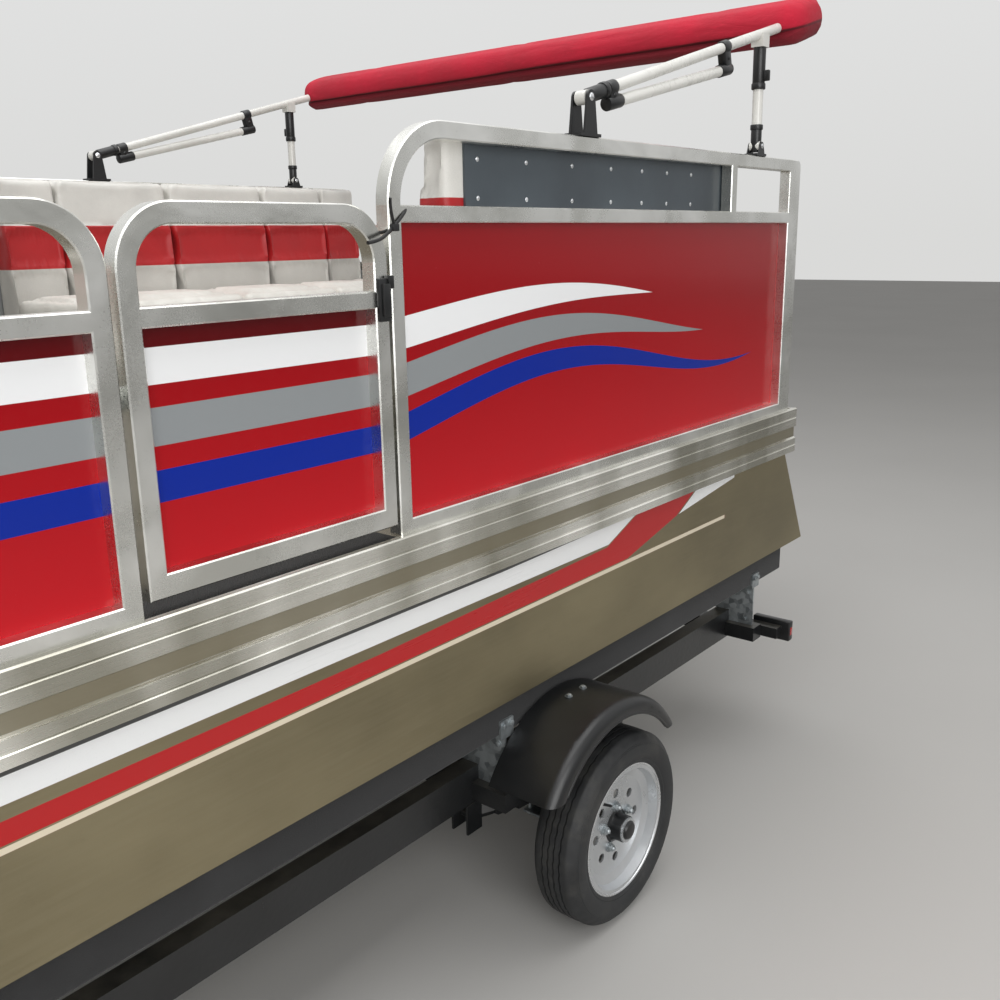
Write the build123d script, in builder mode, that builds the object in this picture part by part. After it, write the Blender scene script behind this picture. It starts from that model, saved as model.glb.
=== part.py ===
from build123d import *
import os
from math import asin, atan2, cos, degrees, hypot, radians, sin

os.makedirs("parts", exist_ok=True)

# A pontoon boat on its bunk trailer. Millimetres, +X to the bow, +Y to port, +Z up, ground at z = 0.

# Places along the boat are measured forward from one station just aft of the deck
stern = -2828
deck_aft = stern + 75
deck_fwd = stern + 5500
deck_half = 1075
sides = (("port", 1), ("starboard", -1))
seat_gap = 0.3  # between pieces that rest on each other but do not fuse

# Trailer heights
tyre_r = 268
tyre_w = 142
tread_half = 44
rim_r = 182
rim_half = 58
wheel_y = deck_half + 40
hub_in = wheel_y - 55
hub_w = 123
axle_x = stern + 1255
beam_h = 100
beam_w = 50
beam_top = 520
beam_y = deck_half - 175
member_h = 50
member_w = 60
member_top = 480
bunk_h = 95
bunk_w = 50
bunk_top = 730

# Pontoons
pontoon_w = 560
pontoon_inset = 40
pontoon_y = deck_half - pontoon_inset - pontoon_w / 2
pontoon_side = 400
chine_flat = 90
keel_drop = 70
keel_w = 30
pontoon_aft_top = stern + 40
pontoon_aft_low = stern - 175
pontoon_nose = deck_fwd + 400
nose_rake = 760
nose_lip = 70
nose_w = 250
nose_taper = 620
chine_z = bunk_top
pontoon_top = chine_z + pontoon_side

# Deck and skirts
cross_h = 100
cross_flange = 45
cross_t = 6
cross_count = 13
cross_margin = 60
deck_t = 20
deck_low = pontoon_top + cross_h
deck_top = deck_low + deck_t
skirt_t = 15
skirt_low = deck_top - 146
skirt_high = deck_top + 3
skirt_inner_t = 8

# Fences
tube = 35
rail_h = 32
chamfer_w = 2.5
fence_top = deck_top + 645
fence_rail = deck_top + 456
raised_top = deck_top + 804
raised_rail = deck_top + 612
arch_r = 105
raised_arch_r = 160
small_r = 22
post_w = 78
side_aft = stern + 100
rail_post_x = stern + 558
aft_frame_end = stern + 1963
gate_gap = 8
gate_lift = 26
gate_foot_h = 40
gate_end = stern + 2530
fwd_frame_aft = stern + 2543
bow_x = deck_fwd - 200
bow_gate_half = 330
sheet_t = 4
sheet_inset = 29

# Hinges of both gates
knuckle_r = 7
leaf_t = 4
leaf_w = 26
hinge_h = 70

# Seats
seat_h = 415
cushion_t = 120
seat_depth = 515
back_low_t = 108
back_top_t = 78
back_h = 806
wall_gap = 8
base_depth = 455
toe_depth = 60
toe_h = 80
shell_t = 6

# Helm
console_aft = stern + 2810
console_len = 580
console_fwd = console_aft + console_len
console_w = 555
console_y0 = -(deck_half - tube - 15)
console_y1 = console_y0 + console_w
console_h = 880
knee_w = 360
knee_h = 400
knee_low = 30
knee_deep = 200
knee_r = 20
chair_x = console_aft - 550
chair_y = console_y1 - 220
wheel_r = 175
wheel_tube = 13

# Canopy
mount_x = stern + 1300
mount_y = deck_half - 18
pivot_z = raised_top + 86
canopy_tube = 28
boot_x = stern + 165
boot_z = pivot_z + 315
boot_r = 66
boot_flat = 120
boot_over = 60
strut_x = stern + 395
saddle_w = 40
saddle_h = 22
strut_r = 15
strut_pin_r = 4
strut_pin_z = raised_top + 28
eye_half = 15

# Outboard
transom_x = stern - 650
transom_t = 50
transom_top = pontoon_top + 70
tilt_x = transom_x - 30
tilt_z = transom_top + 25
steer_back = 115
steer_x = tilt_x - steer_back
vent_z = transom_top - 530
prop_z = vent_z - 190
prop_r = 172
cheek_y = 66
cheek_t = 14
hook_h = 62

# Trailer front
beams_end = stern + 4150
tongue_end = pontoon_nose + 720
tongue_w = 76
coupler_nose = tongue_end + 280
coupler_y = 32
ball_r = 25.5
winch_x = pontoon_nose + 180
jack_x = winch_x + 250
jack_foot = 150
bunk_aft = stern - 40
bunk_fwd = stern + 4400
member_xs = [stern + d for d in (170, 1570, 3000, 4120)]


def across(y):
    # upright plane along the boat at this y, drawn in x and z
    return Plane.XZ.offset(-y)


def station(x):
    # upright plane across the boat at this x, drawn in y and z
    return Plane.YZ.offset(x)


def level(z):
    return Plane.XY.offset(z)


def save(piece, name):
    piece.part.label = name
    export_step(piece.part, f"parts/{name}.step")


def block(x0, x1, y0, y1, z0, z1, mode=Mode.ADD):
    # a plain box between two corners
    with Locations(((x0 + x1) / 2, (y0 + y1) / 2, (z0 + z1) / 2)):
        Box(abs(x1 - x0), abs(y1 - y0), abs(z1 - z0), mode=mode)


def arch(u0, u1, v0, v1, r0, r1, mode=Mode.ADD):
    # rectangle with rounded top corners, r0 on the left and r1 on the right
    with BuildLine(Plane.XY) as outline:
        Line((u0, v0), (u1, v0))
        Line((u1, v0), (u1, v1 - r1))
        CenterArc((u1 - r1, v1 - r1), r1, 0, 90)
        Line((u1 - r1, v1), (u0 + r0, v1))
        CenterArc((u0 + r0, v1 - r0), r0, 90, 90)
        Line((u0, v1 - r0), (u0, v0))
    make_face(outline.edges(), mode=mode)


def hoop(u0, u1, v0, v1, r0, r1, rail, posts=(), left=tube, foot=rail_h):
    # tube frame: arch outline, bottom rail, one middle rail and upright posts
    arch(u0, u1, v0, v1, r0, r1)
    inner0, inner1 = max(r0 - tube, 4), max(r1 - tube, 4)
    arch(u0 + left, u1 - tube, v0 + foot, v1 - tube, inner0, inner1, Mode.SUBTRACT)
    with Locations(((u0 + u1) / 2, rail + rail_h / 2)):
        Rectangle(u1 - u0 - 2, rail_h)
    for at, low, top in posts:
        with Locations((at, (low + top) / 2)):
            Rectangle(tube, top - low)


def sheet(u0, u1, v0, v1):
    with Locations(((u0 + u1) / 2, (v0 + v1) / 2)):
        Rectangle(u1 - u0, v1 - v0)


# Pontoons: flat sides, chine flats and a shallow keel, cut by a side view and a plan view
for side, s in sides:
    yc = s * pontoon_y
    half = pontoon_w / 2
    keel_z = chine_z - keel_drop
    with BuildPart() as pontoon:
        with BuildSketch(station(pontoon_aft_low)):
            with BuildLine():
                Polyline(
                    (yc - half, pontoon_top), (yc - half, chine_z), (yc - half + chine_flat, chine_z),
                    (yc - keel_w / 2, keel_z), (yc + keel_w / 2, keel_z),
                    (yc + half - chine_flat, chine_z), (yc + half, chine_z), (yc + half, pontoon_top),
                    close=True,
                )
            make_face()
        extrude(amount=pontoon_nose - pontoon_aft_low)
        with BuildSketch(across(yc + half + 1)):
            with BuildLine():
                rake = Polyline(
                    (pontoon_nose - nose_rake, keel_z), (pontoon_aft_low, keel_z),
                    (pontoon_aft_low, chine_z), (pontoon_aft_top, pontoon_top),
                    (pontoon_nose, pontoon_top), (pontoon_nose, pontoon_top - nose_lip),
                )
                ThreePointArc(
                    rake @ 1,
                    (pontoon_nose - nose_rake * 0.36, keel_z + (pontoon_top - nose_lip - keel_z) * 0.46),
                    rake @ 0,
                )
            make_face()
        extrude(amount=pontoon_w + 2, mode=Mode.INTERSECT)
        with BuildSketch(level(keel_z - 1)):
            with BuildLine():
                Polyline(
                    (pontoon_aft_low, yc - half), (pontoon_nose - nose_taper, yc - half),
                    (pontoon_nose, yc - nose_w / 2), (pontoon_nose, yc + nose_w / 2),
                    (pontoon_nose - nose_taper, yc + half), (pontoon_aft_low, yc + half), close=True,
                )
            make_face()
        extrude(amount=pontoon_top - keel_z + 2, mode=Mode.INTERSECT)
    save(pontoon, f"pontoon_{side}")

# Cross beams: open channels from side to side
cross_pitch = (deck_fwd - deck_aft - 2 * cross_margin - cross_flange) / (cross_count - 1)
deck_mid = (deck_aft + deck_fwd) / 2
with BuildPart() as cross_beams:
    with BuildSketch(across(deck_half)):
        with GridLocations(cross_pitch, 1, cross_count, 1):
            for dz in (cross_t / 2, cross_h - cross_t / 2):
                with Locations((deck_mid, pontoon_top + dz)):
                    Rectangle(cross_flange, cross_t)
            with Locations((deck_mid - cross_flange / 2 + cross_t / 2, pontoon_top + cross_h / 2)):
                Rectangle(cross_t, cross_h)
    extrude(amount=2 * deck_half)
save(cross_beams, "cross_beams")

# Deck board
with BuildPart() as deck:
    with BuildSketch(level(deck_low)):
        with Locations((deck_mid, 0)):
            Rectangle(deck_fwd - deck_aft, 2 * deck_half)
    extrude(amount=deck_t)
save(deck, "deck")

# Skirts: two ribs with a groove each and a recess between them; each row is height above the foot, depth
skirt_rows = [
    (0, skirt_t), (20, skirt_t), (23, skirt_t - 3), (26, skirt_t), (46, skirt_t), (50, skirt_inner_t),
    (83, skirt_inner_t), (87, skirt_t), (114, skirt_t), (117, skirt_t - 3), (120, skirt_t),
    (skirt_high - skirt_low - 3, skirt_t), (skirt_high - skirt_low, skirt_t - 3),
]
end_foot = pontoon_top + 2 - skirt_low
end_rows = [(end_foot, skirt_t), *[row for row in skirt_rows if row[0] > end_foot + 3]]
with BuildPart() as deck_skirt:
    for side, s in sides:
        with BuildSketch(station(deck_aft - skirt_t)):
            with BuildLine():
                Polyline(
                    (s * deck_half, skirt_low),
                    *[(s * (deck_half + d), skirt_low + h) for h, d in skirt_rows],
                    (s * deck_half, skirt_high), close=True,
                )
            make_face()
        extrude(amount=deck_fwd - deck_aft + 2 * skirt_t)
    for x, s in ((deck_aft, -1), (deck_fwd, 1)):
        with BuildSketch(across(deck_half + 1)):
            with BuildLine():
                Polyline(
                    (x, skirt_low + end_foot), *[(x + s * d, skirt_low + h) for h, d in end_rows],
                    (x, skirt_high), close=True,
                )
            make_face()
        extrude(amount=2 * (deck_half + 1))
save(deck_skirt, "deck_skirt")

# Motor pod: a short centre hull that carries the transom
pod_half = 300
pod_chine = pontoon_top - 250
pod_keel = pontoon_top - 400
pod_fwd = stern + 900
with BuildPart() as pod:
    with BuildSketch(station(transom_x + transom_t)):
        with BuildLine():
            Polyline(
                (-pod_half, pontoon_top), (-pod_half, pod_chine), (0, pod_keel), (pod_half, pod_chine),
                (pod_half, pontoon_top), close=True,
            )
        make_face()
    extrude(amount=pod_fwd - transom_x - transom_t)
    with BuildSketch(across(pod_half + 1)):
        with BuildLine():
            Polyline(
                (transom_x, pontoon_top), (transom_x, pod_keel), (pod_fwd - 500, pod_keel),
                (pod_fwd, pontoon_top - 60), (pod_fwd, pontoon_top), close=True,
            )
        make_face()
    extrude(amount=2 * pod_half + 2, mode=Mode.INTERSECT)
    with BuildSketch(station(transom_x)):
        with BuildLine():
            Polyline(
                (-pod_half - 12, transom_top), (-pod_half - 12, pod_chine - 12), (0, pod_keel - 12),
                (pod_half + 12, pod_chine - 12), (pod_half + 12, transom_top), close=True,
            )
        make_face()
    extrude(amount=transom_t)
save(pod, "motor_pod")

# Side fences: the aft length is raised, the forward length is standard height
for side, s in sides:
    face = s * deck_half
    with BuildPart() as aft_frame:
        with BuildSketch(across(face)):
            hoop(
                side_aft, aft_frame_end, deck_top, raised_top, small_r, raised_arch_r, raised_rail,
                [(rail_post_x, raised_rail + rail_h - 1, raised_top - 1)], post_w,
            )
        extrude(amount=s * tube)
        chamfer(aft_frame.faces().sort_by(Axis.Y)[-1].edges(), chamfer_w)
        chamfer(aft_frame.faces().sort_by(Axis.Y)[0].edges(), chamfer_w)
    save(aft_frame, f"fence_{side}_aft_frame")

    # the starboard side has no gate, so its forward length starts at the aft frame
    fwd_aft = fwd_frame_aft if s > 0 else aft_frame_end + gate_gap
    fwd_end = bow_x - tube
    bays = 3 if s > 0 else 4
    pitch = (fwd_end - fwd_aft - tube) / bays
    post_xs = [fwd_aft + tube / 2 + pitch * n for n in range(1, bays)]
    with BuildPart() as fwd_frame:
        with BuildSketch(across(face)):
            hoop(
                fwd_aft, fwd_end, deck_top, fence_top, arch_r, arch_r, fence_rail,
                [(x, deck_top + 1, fence_top - 1) for x in post_xs],
            )
        extrude(amount=s * tube)
        chamfer(fwd_frame.faces().sort_by(Axis.Y)[-1].edges(), chamfer_w)
        chamfer(fwd_frame.faces().sort_by(Axis.Y)[0].edges(), chamfer_w)
    save(fwd_frame, f"fence_{side}_fwd_frame")

    edges_x = [fwd_aft + tube / 2, *post_xs, fwd_end - tube / 2]
    with BuildPart() as side_panels:
        with BuildSketch(across(face - s * sheet_inset)):
            sheet(side_aft + post_w, aft_frame_end - tube, deck_top + rail_h, raised_rail)
            for x0, x1 in zip(edges_x, edges_x[1:]):
                sheet(x0 + tube / 2, x1 - tube / 2, deck_top + rail_h, fence_rail)
        extrude(amount=s * sheet_t)
    save(side_panels, f"fence_{side}_panels")

# End fences: one frame each side of the bow gate, and a closed one at the stern between the side fences
bow_frames_y = ((-deck_half, -bow_gate_half), (bow_gate_half, deck_half))
stern_half = deck_half - tube
stern_posts = (-stern_half / 3, stern_half / 3)
with BuildPart() as end_frames:
    with BuildSketch(station(bow_x - tube)):
        for y0, y1 in bow_frames_y:
            hoop(y0, y1, deck_top, fence_top, arch_r, arch_r, fence_rail)
    extrude(amount=tube)
    with BuildSketch(station(side_aft)):
        hoop(
            -stern_half, stern_half, deck_top, fence_top, small_r, small_r, fence_rail,
            [(y, deck_top + 1, fence_top - 1) for y in stern_posts],
        )
    extrude(amount=tube)
    ends = end_frames.faces().filter_by(Axis.X).group_by(Axis.X)
    chamfer([*ends[0].edges(), *ends[-1].edges()], chamfer_w)
save(end_frames, "fence_end_frames")

stern_ys = (-stern_half + tube / 2, *stern_posts, stern_half - tube / 2)
with BuildPart() as end_panels:
    with BuildSketch(station(bow_x - sheet_inset - sheet_t)):
        for y0, y1 in bow_frames_y:
            sheet(y0 + tube, y1 - tube, deck_top + rail_h, fence_rail)
    extrude(amount=sheet_t)
    with BuildSketch(station(side_aft + sheet_inset)):
        for y0, y1 in zip(stern_ys, stern_ys[1:]):
            sheet(y0 + tube / 2, y1 - tube / 2, deck_top + rail_h, fence_rail)
    extrude(amount=sheet_t)
save(end_panels, "fence_end_panels")

# Side gate: hinged on the aft frame, swings inward
gate_aft = aft_frame_end + gate_gap
gate_low = deck_top + gate_lift
side_pin_x = aft_frame_end + gate_gap / 2
side_pin_y = deck_half - tube - leaf_t - knuckle_r / 2
hinge_zs = (deck_top + 120, fence_top - 220)
with BuildPart() as side_gate:
    with BuildSketch(across(deck_half)):
        hoop(gate_aft, gate_end, gate_low, fence_top, arch_r, arch_r, fence_rail, foot=gate_foot_h)
    extrude(amount=tube)
    chamfer(side_gate.faces().sort_by(Axis.Y)[-1].edges(), chamfer_w)
    chamfer(side_gate.faces().sort_by(Axis.Y)[0].edges(), chamfer_w)
    for z in hinge_zs:
        block(
            side_pin_x, side_pin_x + leaf_w, deck_half - tube - leaf_t, deck_half - tube,
            z + seat_gap, z + hinge_h,
        )
        with Locations((side_pin_x, side_pin_y, z + seat_gap / 2 + hinge_h / 2)):
            Cylinder(knuckle_r, hinge_h - seat_gap)
save(side_gate, "gate_side_frame")

with BuildPart() as side_gate_panel:
    with BuildSketch(across(deck_half - sheet_inset)):
        sheet(gate_aft + tube, gate_end - tube, gate_low + gate_foot_h, fence_rail)
    extrude(amount=sheet_t)
save(side_gate_panel, "gate_side_panel")

# Bow gate: hinged on the port bow frame, swings inward
bow_pin_y = bow_gate_half - gate_gap / 2
bow_pin_x = bow_x - tube - leaf_t - knuckle_r / 2
bow_gate_edge = bow_gate_half - gate_gap
with BuildPart() as bow_gate:
    with BuildSketch(station(bow_x - tube)):
        hoop(
            -bow_gate_edge, bow_gate_edge, gate_low, fence_top, arch_r, arch_r, fence_rail,
            foot=gate_foot_h,
        )
    extrude(amount=tube)
    chamfer(bow_gate.faces().sort_by(Axis.X)[-1].edges(), chamfer_w)
    for z in hinge_zs:
        block(
            bow_x - tube - leaf_t, bow_x - tube, bow_pin_y - leaf_w, bow_pin_y, z + seat_gap, z + hinge_h
        )
        with Locations((bow_pin_x, bow_pin_y, z + seat_gap / 2 + hinge_h / 2)):
            Cylinder(knuckle_r, hinge_h - seat_gap)
save(bow_gate, "gate_bow_frame")

with BuildPart() as bow_gate_panel:
    with BuildSketch(station(bow_x - sheet_inset - sheet_t)):
        sheet(-bow_gate_edge + tube, bow_gate_edge - tube, gate_low + gate_foot_h, fence_rail)
    extrude(amount=sheet_t)
save(bow_gate_panel, "gate_bow_panel")

# Fixed halves of the hinges, one knuckle below each knuckle of a gate
with BuildPart() as hinges:
    for z in hinge_zs:
        block(
            side_pin_x - leaf_w, side_pin_x, deck_half - tube - leaf_t, deck_half - tube, z - hinge_h, z
        )
        with Locations((side_pin_x, side_pin_y, z - hinge_h / 2)):
            Cylinder(knuckle_r, hinge_h)
        block(bow_x - tube - leaf_t, bow_x - tube, bow_pin_y, bow_pin_y + leaf_w, z - hinge_h, z)
        with Locations((bow_pin_x, bow_pin_y, z - hinge_h / 2)):
            Cylinder(knuckle_r, hinge_h)
save(hinges, "gate_hinges")

# Seats: moulded base with a toe recess, thick cushion, reclined back against the fence
fence_in = deck_half - tube
cushion_low = deck_top + seat_h - cushion_t
cushion_top = deck_top + seat_h
bench_end = bow_x - 250
# name, then side, aft end and forward end of each seat
seats = {
    "bench_aft": [(-1, stern + 141, stern + 1720)],
    "lounge_aft": [(1, stern + 500, stern + 1760)],
    "bench_fwd": [(-1, console_fwd + 160, bench_end), (1, gate_end + 190, bench_end)],
}
with BuildPart() as seat_bases:
    for places in seats.values():
        for s, x0, x1 in places:
            wall = s * fence_in
            with BuildSketch(station(x0)):
                with BuildLine():
                    Polyline(
                        (wall - s * wall_gap, deck_top), (wall - s * (base_depth - toe_depth), deck_top),
                        (wall - s * (base_depth - toe_depth), deck_top + toe_h),
                        (wall - s * base_depth, deck_top + toe_h + 25),
                        (wall - s * base_depth, cushion_low), (wall - s * wall_gap, cushion_low), close=True,
                    )
                make_face()
            extrude(amount=x1 - x0)
save(seat_bases, "seat_bases")

for name, places in seats.items():
    with BuildPart() as cushion:
        for s, x0, x1 in places:
            wall = s * fence_in
            back_foot = wall - s * (wall_gap + back_low_t + seat_gap)
            seat_front = wall - s * seat_depth
            with BuildSketch(station(x0)):
                with BuildLine():
                    Polyline(
                        (back_foot, cushion_low + seat_gap), (seat_front, cushion_low + seat_gap),
                        (seat_front, cushion_top - 36), (seat_front + s * 36, cushion_top),
                        (back_foot, cushion_top), close=True,
                    )
                make_face()
            extrude(amount=x1 - x0)
    save(cushion, f"{name}_cushion")

    with BuildPart() as back:
        for s, x0, x1 in places:
            wall = s * fence_in
            with BuildSketch(station(x0)):
                with BuildLine():
                    Polyline(
                        (wall - s * wall_gap, cushion_low + seat_gap),
                        (wall - s * (wall_gap + back_low_t), cushion_low + seat_gap),
                        (wall - s * (wall_gap + back_low_t), cushion_top + seat_gap),
                        (wall - s * (wall_gap + back_top_t), deck_top + back_h),
                        (wall - s * wall_gap, deck_top + back_h), close=True,
                    )
                make_face()
            extrude(amount=x1 - x0)
        fillet(back.edges().filter_by(Axis.X).group_by(Axis.Z)[-1], 26)
    save(back, f"{name}_back")

# Dark shell on the outboard face of the port lounge's back, seen between the raised rails
shell_low = raised_rail - 40
with BuildPart() as back_shell:
    lounge = seats["lounge_aft"][0]
    block(
        lounge[1] + 10, lounge[2] - 60, fence_in - wall_gap + seat_gap,
        fence_in - wall_gap + seat_gap + shell_t, shell_low, deck_top + back_h - 12,
    )
save(back_shell, "lounge_back_shell")

# Helm console: side view with a sloped dash, extruded across, hollowed at the knees
dash_low = (console_aft - 30, deck_top + console_h - 230)
dash_high = (console_aft + 150, deck_top + console_h - 10)
dash_tilt = atan2(dash_high[1] - dash_low[1], dash_high[0] - dash_low[0])
wheel_stand = 95
hub_r = 30
hub_h = 24
dash_mid = ((dash_low[0] + dash_high[0]) / 2, (dash_low[1] + dash_high[1]) / 2)
helm_normal = (-sin(dash_tilt), 0, cos(dash_tilt))
dash_plane = Plane(origin=(dash_mid[0], chair_y, dash_mid[1]), x_dir=(0, 1, 0), z_dir=helm_normal)
with BuildPart() as console:
    with BuildSketch(across(console_y1)):
        with BuildLine():
            Polyline(
                (console_aft, deck_top), (console_aft, deck_top + console_h - 300), dash_low, dash_high,
                (console_aft + 290, deck_top + console_h), (console_fwd - 30, deck_top + console_h - 210),
                (console_fwd, deck_top + console_h - 260), (console_fwd, deck_top), close=True,
            )
        make_face()
    extrude(amount=console_y1 - console_y0)
    outer = console.faces().filter_by(Axis.Y)
    fillet(outer.sort_by(Axis.Y)[-1].edges(), 30)
    with BuildSketch(station(console_aft - 60)):
        with Locations(((console_y0 + console_y1) / 2, deck_top + knee_low + knee_h / 2)):
            RectangleRounded(knee_w, knee_h, knee_r)
    extrude(amount=60 + knee_deep, mode=Mode.SUBTRACT)
    with BuildSketch(dash_plane.offset(-4)):
        Circle(38)
    extrude(amount=wheel_stand - hub_h - seat_gap + 4, taper=6)
save(console, "helm_console")

# Steering wheel: rim, hub and three spokes square to the sloped dash, on a short column
rim_plane = dash_plane.offset(wheel_stand)
with BuildPart() as steering_wheel:
    with BuildLine(rim_plane):
        rim_path = CenterArc((0, 0), wheel_r, 0, 360)
    with BuildSketch(Plane(origin=rim_path @ 0, z_dir=rim_path % 0)):
        Circle(wheel_tube)
    sweep()
    with BuildSketch(rim_plane.offset(-hub_h)):
        Circle(hub_r)
    extrude(amount=hub_h)
    with BuildSketch(rim_plane.offset(-8)):
        with PolarLocations(wheel_r / 2, 3, start_angle=90):
            Rectangle(wheel_r - 8, 24)
    extrude(amount=8)
save(steering_wheel, "steering_wheel")

# Windscreen: a bent clear sheet that leans aft over the console, cut to the console's top
screen_t = 5
screen_w = console_w - 70
screen_deep = 210
screen_r = 75
screen_low = deck_top + console_h - 240
screen_top = deck_top + console_h + 210
screen_front = console_fwd - 25
screen_rake = radians(24)
with BuildPart() as windscreen:
    with BuildSketch(level(screen_low)):
        with Locations((screen_front - screen_deep, (console_y0 + console_y1) / 2)):
            RectangleRounded(2 * screen_deep, screen_w, screen_r)
            RectangleRounded(
                2 * (screen_deep - screen_t), screen_w - 2 * screen_t, screen_r - screen_t,
                mode=Mode.SUBTRACT,
            )
    screen_dir = (-sin(screen_rake), 0, cos(screen_rake))
    extrude(amount=(screen_top - screen_low) / cos(screen_rake), dir=screen_dir)
    with BuildSketch(across(console_y1)):
        with BuildLine():
            Polyline(
                (console_aft + 290, deck_top + console_h + seat_gap),
                (console_fwd - 30, deck_top + console_h - 210 + seat_gap),
                (console_fwd, deck_top + console_h - 260 + seat_gap),
                (console_fwd + 60, deck_top + console_h - 260), (console_fwd + 60, screen_top - 12),
                (console_fwd - 190, screen_top - 12), (console_aft + 250, screen_top - 60), close=True,
            )
        make_face()
    extrude(amount=console_w, mode=Mode.INTERSECT)
save(windscreen, "windscreen")

# Helm chair: pedestal on the deck, swivelling shell with soft seat and back
pedestal_h = 330
pedestal_r = 38
chair_half = 215
chair_fwd = 235
chair_aft = 250
chair_z = deck_top + pedestal_h
shell_wall = 22
with BuildPart() as pedestal:
    with BuildSketch(level(deck_top)):
        with Locations((chair_x, chair_y)):
            Circle(150)
    extrude(amount=14, taper=20)
    with BuildSketch(level(deck_top + 14)):
        with Locations((chair_x, chair_y)):
            Circle(pedestal_r)
    extrude(amount=pedestal_h - 14)
save(pedestal, "helm_pedestal")

with BuildPart() as chair_shell:
    with BuildSketch(level(chair_z + seat_gap)):
        with Locations((chair_x + (chair_fwd - chair_aft) / 2, chair_y)):
            RectangleRounded(chair_fwd + chair_aft, 2 * chair_half, 70)
    extrude(amount=shell_wall)
    with BuildSketch(across(chair_y + chair_half - 12)):
        with BuildLine():
            Polyline(
                (chair_x - chair_aft + 30, chair_z + shell_wall),
                (chair_x - chair_aft + 60, chair_z + shell_wall),
                (chair_x - chair_aft + 22, chair_z + 560), (chair_x - chair_aft, chair_z + 560), close=True,
            )
        make_face()
    extrude(amount=2 * chair_half - 24)
save(chair_shell, "helm_chair_shell")

with BuildPart() as chair_seat:
    with BuildSketch(level(chair_z + shell_wall + 2 * seat_gap)):
        with Locations((chair_x + 40, chair_y)):
            RectangleRounded(chair_fwd * 2 - 90, 2 * chair_half - 10, 60)
    extrude(amount=110)
    fillet(chair_seat.edges().group_by(Axis.Z)[-1], 30)
save(chair_seat, "helm_chair_seat")

with BuildPart() as chair_back:
    with BuildSketch(across(chair_y + chair_half - 20)):
        with BuildLine():
            Polyline(
                (chair_x - chair_aft + 60 + seat_gap - 8, chair_z + 140),
                (chair_x - chair_aft + 150, chair_z + 140),
                (chair_x - chair_aft + 100, chair_z + 590),
                (chair_x - chair_aft + 22 + seat_gap, chair_z + 590),
                (chair_x - chair_aft + 22 + seat_gap, chair_z + 560), close=True,
            )
        make_face()
    extrude(amount=2 * chair_half - 40)
    fillet(chair_back.edges().filter_by(Axis.Y).group_by(Axis.Z)[-1], 24)
save(chair_back, "helm_chair_back")

# Canopy mounts on the raised rails: foot, two ears and the pivot pin; a smaller pair carries each strut
arm_rise = boot_z - pivot_z
arm_run = mount_x - boot_x
arm_tilt = atan2(arm_rise, arm_run)
arm_r = canopy_tube / 2
ear_gap = canopy_tube + 6
# x of the pin, pin height, space between the ears, ear width at the foot, ear thickness, pin radius
mount_rows = [
    (mount_x, pivot_z, ear_gap, 52, 6, 5),
    (strut_x, strut_pin_z, 2 * eye_half + 2, 40, 4, strut_pin_r),
]
with BuildPart() as canopy_mounts:
    for side, s in sides:
        for x, pin_z, gap, foot_w, thick, pin_r in mount_rows:
            foot_h = 7
            block(
                x - foot_w * 0.8, x + foot_w * 0.8, s * mount_y - gap / 2 - thick,
                s * mount_y + gap / 2 + thick, raised_top, raised_top + foot_h,
            )
            for e in (-1, 1):
                ear_y = s * mount_y + e * (gap + thick) / 2
                top_r = foot_w * 0.3
                with BuildSketch(across(ear_y + thick / 2)):
                    with BuildLine():
                        top = ThreePointArc((x + top_r, pin_z), (x, pin_z + top_r), (x - top_r, pin_z))
                        Polyline(
                            top @ 1, (x - foot_w / 2, raised_top + foot_h - 1),
                            (x + foot_w / 2, raised_top + foot_h - 1), top @ 0,
                        )
                    make_face()
                extrude(amount=thick)
            with BuildSketch(across(s * mount_y + gap / 2 + 1)):
                with Locations((x, pin_z)):
                    Circle(pin_r)
            extrude(amount=gap + 2)
save(canopy_mounts, "canopy_mounts")

# Canopy frame, folded: an arm each side with a second bow leg clamped under it, cut off inside the boot
# distance along the arm and drop below it at both ends of the second leg
leg_ends = ((95, 32), (720, 58))
leg_clamp_w = 22
leg_clamp_l = 30
with BuildPart() as canopy_frame:
    for side, s in sides:
        pivot = Vector(mount_x, s * mount_y, pivot_z)
        along = Vector(-cos(arm_tilt), 0, sin(arm_tilt))
        below = Vector(-sin(arm_tilt), 0, -cos(arm_tilt))
        along_arm = Plane(origin=pivot, x_dir=(0, 1, 0), z_dir=along)
        with BuildSketch(along_arm.offset(10)):
            Circle(arm_r)
        extrude(amount=hypot(arm_rise, arm_run) - 10)
        leg_start, leg_end = [pivot + along * at + below * drop for at, drop in leg_ends]
        leg = leg_end - leg_start
        with BuildSketch(Plane(origin=leg_start, x_dir=(0, 1, 0), z_dir=leg)):
            Circle(arm_r)
        extrude(amount=leg.length)
        clamps = ((leg_ends[0][0] + 5, leg_ends[0][1]), (leg_ends[1][0] - leg_clamp_l, leg_ends[1][1]))
        for at, drop in clamps:
            with BuildSketch(along_arm.offset(at)):
                with Locations((0, drop / 2)):
                    Rectangle(leg_clamp_w, drop + 12)
            extrude(amount=leg_clamp_l)
        with BuildSketch(across(s * mount_y + arm_r)):
            with Locations((mount_x, pivot_z)):
                Circle(arm_r + 2.5)
        extrude(amount=canopy_tube)
    with BuildSketch(across(mount_y + canopy_tube)):
        with Locations((mount_x, pivot_z)):
            Circle(5 + seat_gap)
        with Locations((boot_x, boot_z)):
            SlotCenterToCenter(boot_flat, 2 * (boot_r + seat_gap), rotation=-degrees(arm_tilt))
    extrude(amount=2 * (mount_y + canopy_tube), mode=Mode.SUBTRACT)
save(canopy_frame, "canopy_frame")

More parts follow.
